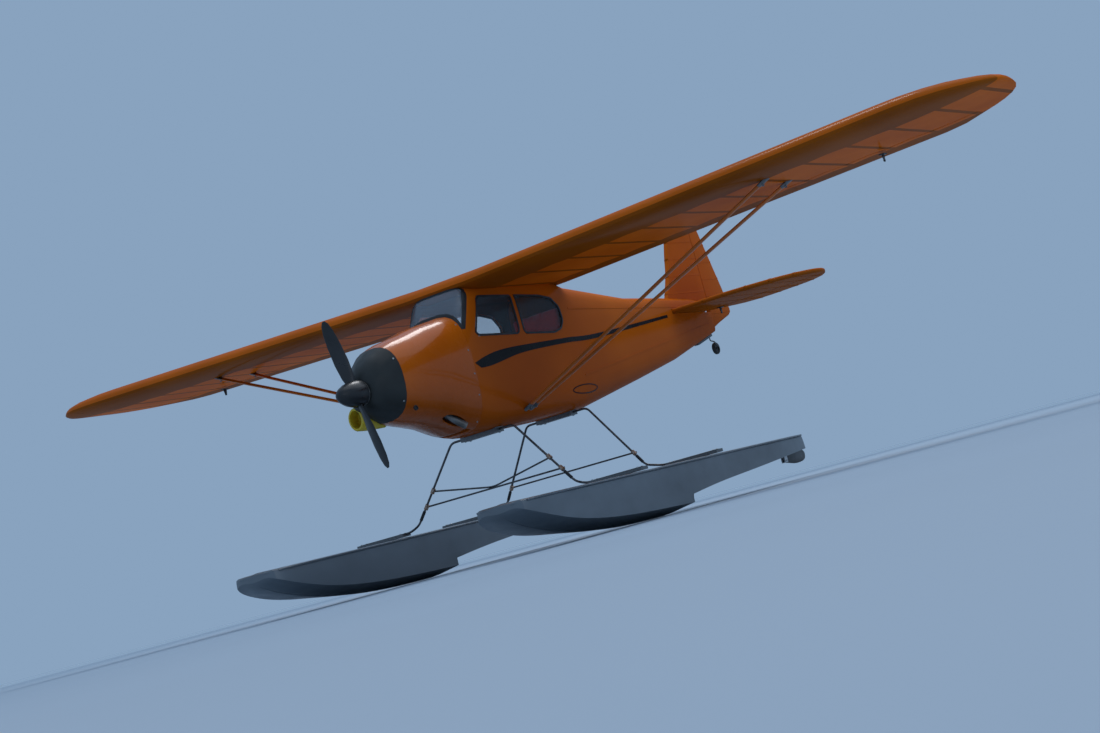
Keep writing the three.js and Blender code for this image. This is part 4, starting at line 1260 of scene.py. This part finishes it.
# Each row: the top and the knee of a leg, and the heights of its joints.
GEAR = [
    ((0.306, 0.066, 0.2111), (0.320, 0.166, 0.092), (JOINT_HEIGHT, 0.1425)),
    ((0.073, 0.066, 0.2173), (0.071, 0.152, 0.093), (JOINT_HEIGHT,)),
]
BINDING_TURNS = 5
BINDING_RADIUS = 0.0036
BINDING_DROP = 0.0035
BINDING_BACK = Vector((-0.0012, 0, 0))
TURN_PITCH = 0.0014
TURN_HEIGHT = 0.0013
SLEEVE_DROP = 0.006
SLEEVE_STEP = 0.0045
SLEEVE_RADIUS = 0.0027
STEEL_GRAIN = (120.0, 4.0)
spring_steel = make_finish(
    "spring_steel",
    tones=(STEEL_GRAIN, (0.075, 0.075, 0.078), (0.17, 0.17, 0.175)),
    gloss=(STEEL_GRAIN, 0.3, 0.5),
    bumps=[(900.0, 0.00004, 0.5)],
    sockets={"Metallic": 1.0},
)
copper = make_finish(
    "copper_binding",
    tones=(400.0, (0.34, 0.17, 0.09), (0.50, 0.42, 0.36)),
    gloss=(300.0, 0.35, 0.6),
    bumps=[(900.0, 0.0001, 0.6)],
    sockets={"Metallic": 1.0},
)
for node in ("gear_wire_front", "gear_wire_rear", "spreader_front", "spreader_rear"):
    dress(node, node + "_bent", spring_steel, crease=60)


def on_leg(height, side):
    """The point of the present leg at a height, on one side."""
    point = top.lerp(knee, (top.z - height) / (top.z - knee.z))
    return Vector((point.x, side * point.y, point.z))


bindings, sleeves = [], []
for top, knee, joints in GEAR:
    top, knee = Vector(top), Vector(knee)
    for height in joints:
        for side in (1, -1):
            for turn in range(BINDING_TURNS):
                foot = height - BINDING_DROP + TURN_PITCH * turn
                low, high = on_leg(foot, side), on_leg(foot + TURN_HEIGHT, side)
                ends = [point + BINDING_BACK for point in (low, low.lerp(high, 0.5), high)]
                bindings.append(rod("turn", ends, BINDING_RADIUS, 12))
    for side in (1, -1):
        ends = [on_leg(JOINT_HEIGHT - SLEEVE_DROP - SLEEVE_STEP * k, side) for k in range(4)]
        sleeves.append(rod("sleeve", ends, SLEEVE_RADIUS, 14))
finish_piece(join_pieces(bindings, "wire_bindings"), copper, crease=30)
finish_piece(join_pieces(sleeves, "shrink_sleeves"), rubber, crease=50)

# CLAMPS AND SADDLES
# Aluminium plates with a groove for the wire, which hold it down: one across the belly for each wire and two
# on each float's deck. Two screws on each side of the wire hold each plate.
CLAMPED = (
    "gear_clamp_front", "gear_clamp_rear", "saddle_front_port", "saddle_front_starboard", "saddle_rear_port",
    "saddle_rear_starboard",
)
OFF_THE_WIRE = 0.0072
DECK_WIRES = (0.322, 0.071)
DECK_SCREWS = (0.203, 0.291)
DECK_SCREW_HEIGHT = 0.0855
BELLY_WIRES = ((0.306, 0.2064), (0.073, 0.2126))
BELLY_SCREWS = (0.031, -0.031)
for node in CLAMPED:
    dress(node, node + "_plate", dull_alloy, crease=30)
rows = [
    (x, side * y, DECK_SCREW_HEIGHT, 1) for x in DECK_WIRES for y in DECK_SCREWS for side in (1, -1)
]
rows += [(x, y, z, -1) for x, z in BELLY_WIRES for y in BELLY_SCREWS]
spots = [((x + side * OFF_THE_WIRE, y, z), (0, 0, up)) for x, y, z, up in rows for side in (-1, 1)]
finish_piece(place_copies(bolt, spots, "plate_screws"), bright_metal)

# COWL SCREWS
# Small cross-head steel screws: a row round the cowl's back edge, into the firewall's rim, and four round
# the nose bowl's edge.
COWL_MIDDLE = Vector((0.3745, 0, 0.3135))
BOWL_MIDDLE = Vector((0.5480, 0, 0.3135))
COWL_SCREW_ANGLES = (-62, -35, -8, 25, 55, 125, 155, 188, 215, 242)
BOWL_SCREW_ANGLES = (38, 142, 218, 322)
SMALL_SCREW_SIZE = (0.0016, 0.0012)
SCREW_SINK = 0.0004
WELL_OUTSIDE = 0.3


def screw_spots(piece, middle, angles):
    """Places and directions on the surface round a middle point, at angles in the cross section."""
    found_spots = []
    for angle in angles:
        away = Vector((0, math.cos(math.radians(angle)), math.sin(math.radians(angle))))
        found, place, normal, face = piece.ray_cast(middle + away * WELL_OUTSIDE, -away)
        found_spots.append((place - normal * SCREW_SINK, normal))
    return found_spots


spots = screw_spots(cowl_shell, COWL_MIDDLE, COWL_SCREW_ANGLES)
spots += screw_spots(nose_bowl, BOWL_MIDDLE, BOWL_SCREW_ANGLES)
small_screw = make_screw(*SMALL_SCREW_SIZE)
finish_piece(place_copies(small_screw, spots, "cowl_screws"), bright_metal)

# INSTRUMENT PANEL
# A thin sheet painted dark grey, set across the cabin front, with the turned metal rims of four plain dials.
# It is seen through the windscreen.
PANEL_MIDDLE = (0.334, 0, 0.336)
PANEL_SIZE = (0.003, 0.122, 0.084)
PANEL_EDGE = 0.001
DIAL_X, DIAL_Z = 0.3318, 0.354
DIAL_RADIUS, DIAL_DEPTH, DIAL_RIM, DIAL_SINK = 0.009, 0.002, 0.0015, 0.0008
DIALS_Y = (-0.036, -0.012, 0.012, 0.036)
finish_piece(add_block("instrument_panel", PANEL_MIDDLE, PANEL_SIZE, PANEL_EDGE, 2), nose_paint)
dials = []
for y in DIALS_Y:
    dials.append(add_disc("dial", DIAL_RADIUS, DIAL_DEPTH, (DIAL_X, y, DIAL_Z), ACROSS_THE_SHAFT, 24))
    pick_facing((-1, 0, 0))
    bpy.ops.mesh.inset(thickness=DIAL_RIM)
    pull((DIAL_SINK, 0, 0))
    close_edit()
finish_piece(join_pieces(dials, "panel_dials"), bright_metal)

# TAIL WHEEL
# A small rubber tyre on a nylon hub. It rolls on a bent wire leg that turns in the end of a flat steel spring
# screwed under the tail.
WHEEL = Vector((-0.567, 0, 0.299))
ACROSS_THE_BODY = (math.pi / 2, 0, 0)
BOTH_SIDES = ((0, 1, 0), (0, -1, 0))
TYRE_RADIUS, TYRE_WIDTH = 0.0125, 0.0068
HUB_RADIUS, HUB_WIDTH = 0.0072, 0.006
HUB_STEPS = ((0.0014, -0.0012), (0.0028, 0.0014))
TREAD_ROUND = 0.0026
BORE_REACH, BORE_RIM = 0.004, 0.0028
SPRING_ROUND = 0.0006
spring = skin_of("tail_wheel_spring", "tail_wheel_spring_formed")
pick_all()
bevel(SPRING_ROUND, 2, clamp=True)
finish_piece(spring, spring_steel, crease=45, node="tail_wheel_spring")
dress("tail_wheel_leg", "tail_wheel_leg_formed", spring_steel, crease=45, body="tail_wheel_fork")
tyre = add_disc("tail_tyre", TYRE_RADIUS, TYRE_WIDTH, WHEEL, ACROSS_THE_BODY, 40)
pick_facing(*BOTH_SIDES)
bevel(TREAD_ROUND, 5)
pick_facing(*BOTH_SIDES, near=WHEEL, reach=BORE_REACH)
bpy.ops.mesh.inset(thickness=BORE_RIM)
bpy.ops.mesh.delete(type="FACE")
bpy.ops.mesh.select_all(action="DESELECT")
bpy.ops.mesh.select_mode(type="EDGE")
bpy.ops.mesh.select_non_manifold()
bpy.ops.mesh.bridge_edge_loops()
face_out()
tyre_rubber = make_finish(
    "tyre_rubber",
    tones=(220.0, (0.014, 0.014, 0.014), (0.030, 0.030, 0.030)),
    gloss=(300.0, 0.6, 0.85),
    bumps=[(1200.0, 0.0001, 0.7)],
)
finish_piece(tyre, tyre_rubber, body="tail_wheel", node="tail_wheel")
hub = add_disc("tail_hub", HUB_RADIUS, HUB_WIDTH, WHEEL, ACROSS_THE_BODY, 32)
pick_facing(*BOTH_SIDES)
for rim, step in HUB_STEPS:
    sink_face(rim, step, use_individual=True)
finish_piece(hub, black_nylon, body="tail_wheel")

# WATER RUDDER
# A black moulded blade that swings on a pin in an aluminium post. The post turns in a bracket of bent
# aluminium, which four screws hold to the port float's stern.
BRACKET_SCREWS = [((-0.2415, y, z), (-1, 0, 0)) for y in (0.2395, 0.2545) for z in (0.059, 0.068)]
POST_HALF = 0.0036
BLADE_ROUND = 0.0007
PIN_ENDS = [((-0.249, FLOAT_MIDDLE + side * POST_HALF, 0.0400), (0, side, 0)) for side in (1, -1)]
for node, body in (("water_rudder_bracket", "airframe"), ("water_rudder_post", "water_rudder_post")):
    dress(node, node + "_cut", bright_metal, crease=35, body=body)
blade = skin_of("water_rudder_blade", "water_blade")
pick_facing(*BOTH_SIDES)
bevel(BLADE_ROUND, 2)
finish_piece(blade, black_nylon, body="water_rudder_blade", node="water_rudder_blade")
finish_piece(place_copies(small_screw, BRACKET_SCREWS, "bracket_screws"), bright_metal)
finish_piece(place_copies(small_screw, PIN_ENDS, "blade_pin"), bright_metal, body="water_rudder_post")
for master in (bolt, small_screw):
    bpy.data.objects.remove(master)

# LIGHT
# Soft studio light: a wide panel overhead, a smaller one behind for the highlights along the top, and a weak one
# at the side. The room around is the colour of a clear sky.
# Each row: name, place, width and power.
LIGHTS = [
    ("overhead", (-1.6, 0.6, 4.0), 5.0, 48),
    ("behind", (-2.2, -0.8, 3.6), 1.1, 26),
    ("side", (2.5, 4.5, 2.0), 3.0, 7),
]
LIT_POINT = Vector((0, 0, 0.3))
SKY = (0.25, 0.365, 0.52, 1)
for name, place, size, power in LIGHTS:
    turn = (LIT_POINT - Vector(place)).to_track_quat("-Z", "Y").to_euler()
    bpy.ops.object.light_add(type="AREA", location=place, rotation=turn)
    lamp = bpy.context.active_object
    lamp.name = name
    lamp.data.size = size
    lamp.data.energy = power
world = bpy.data.worlds.new("studio")
world.use_nodes = True
room = world.node_tree.nodes["Background"]
room.inputs["Color"].default_value = SKY
room.inputs["Strength"].default_value = 1.0
bpy.context.scene.world = world
bpy.context.scene.view_settings.view_transform = "Standard"
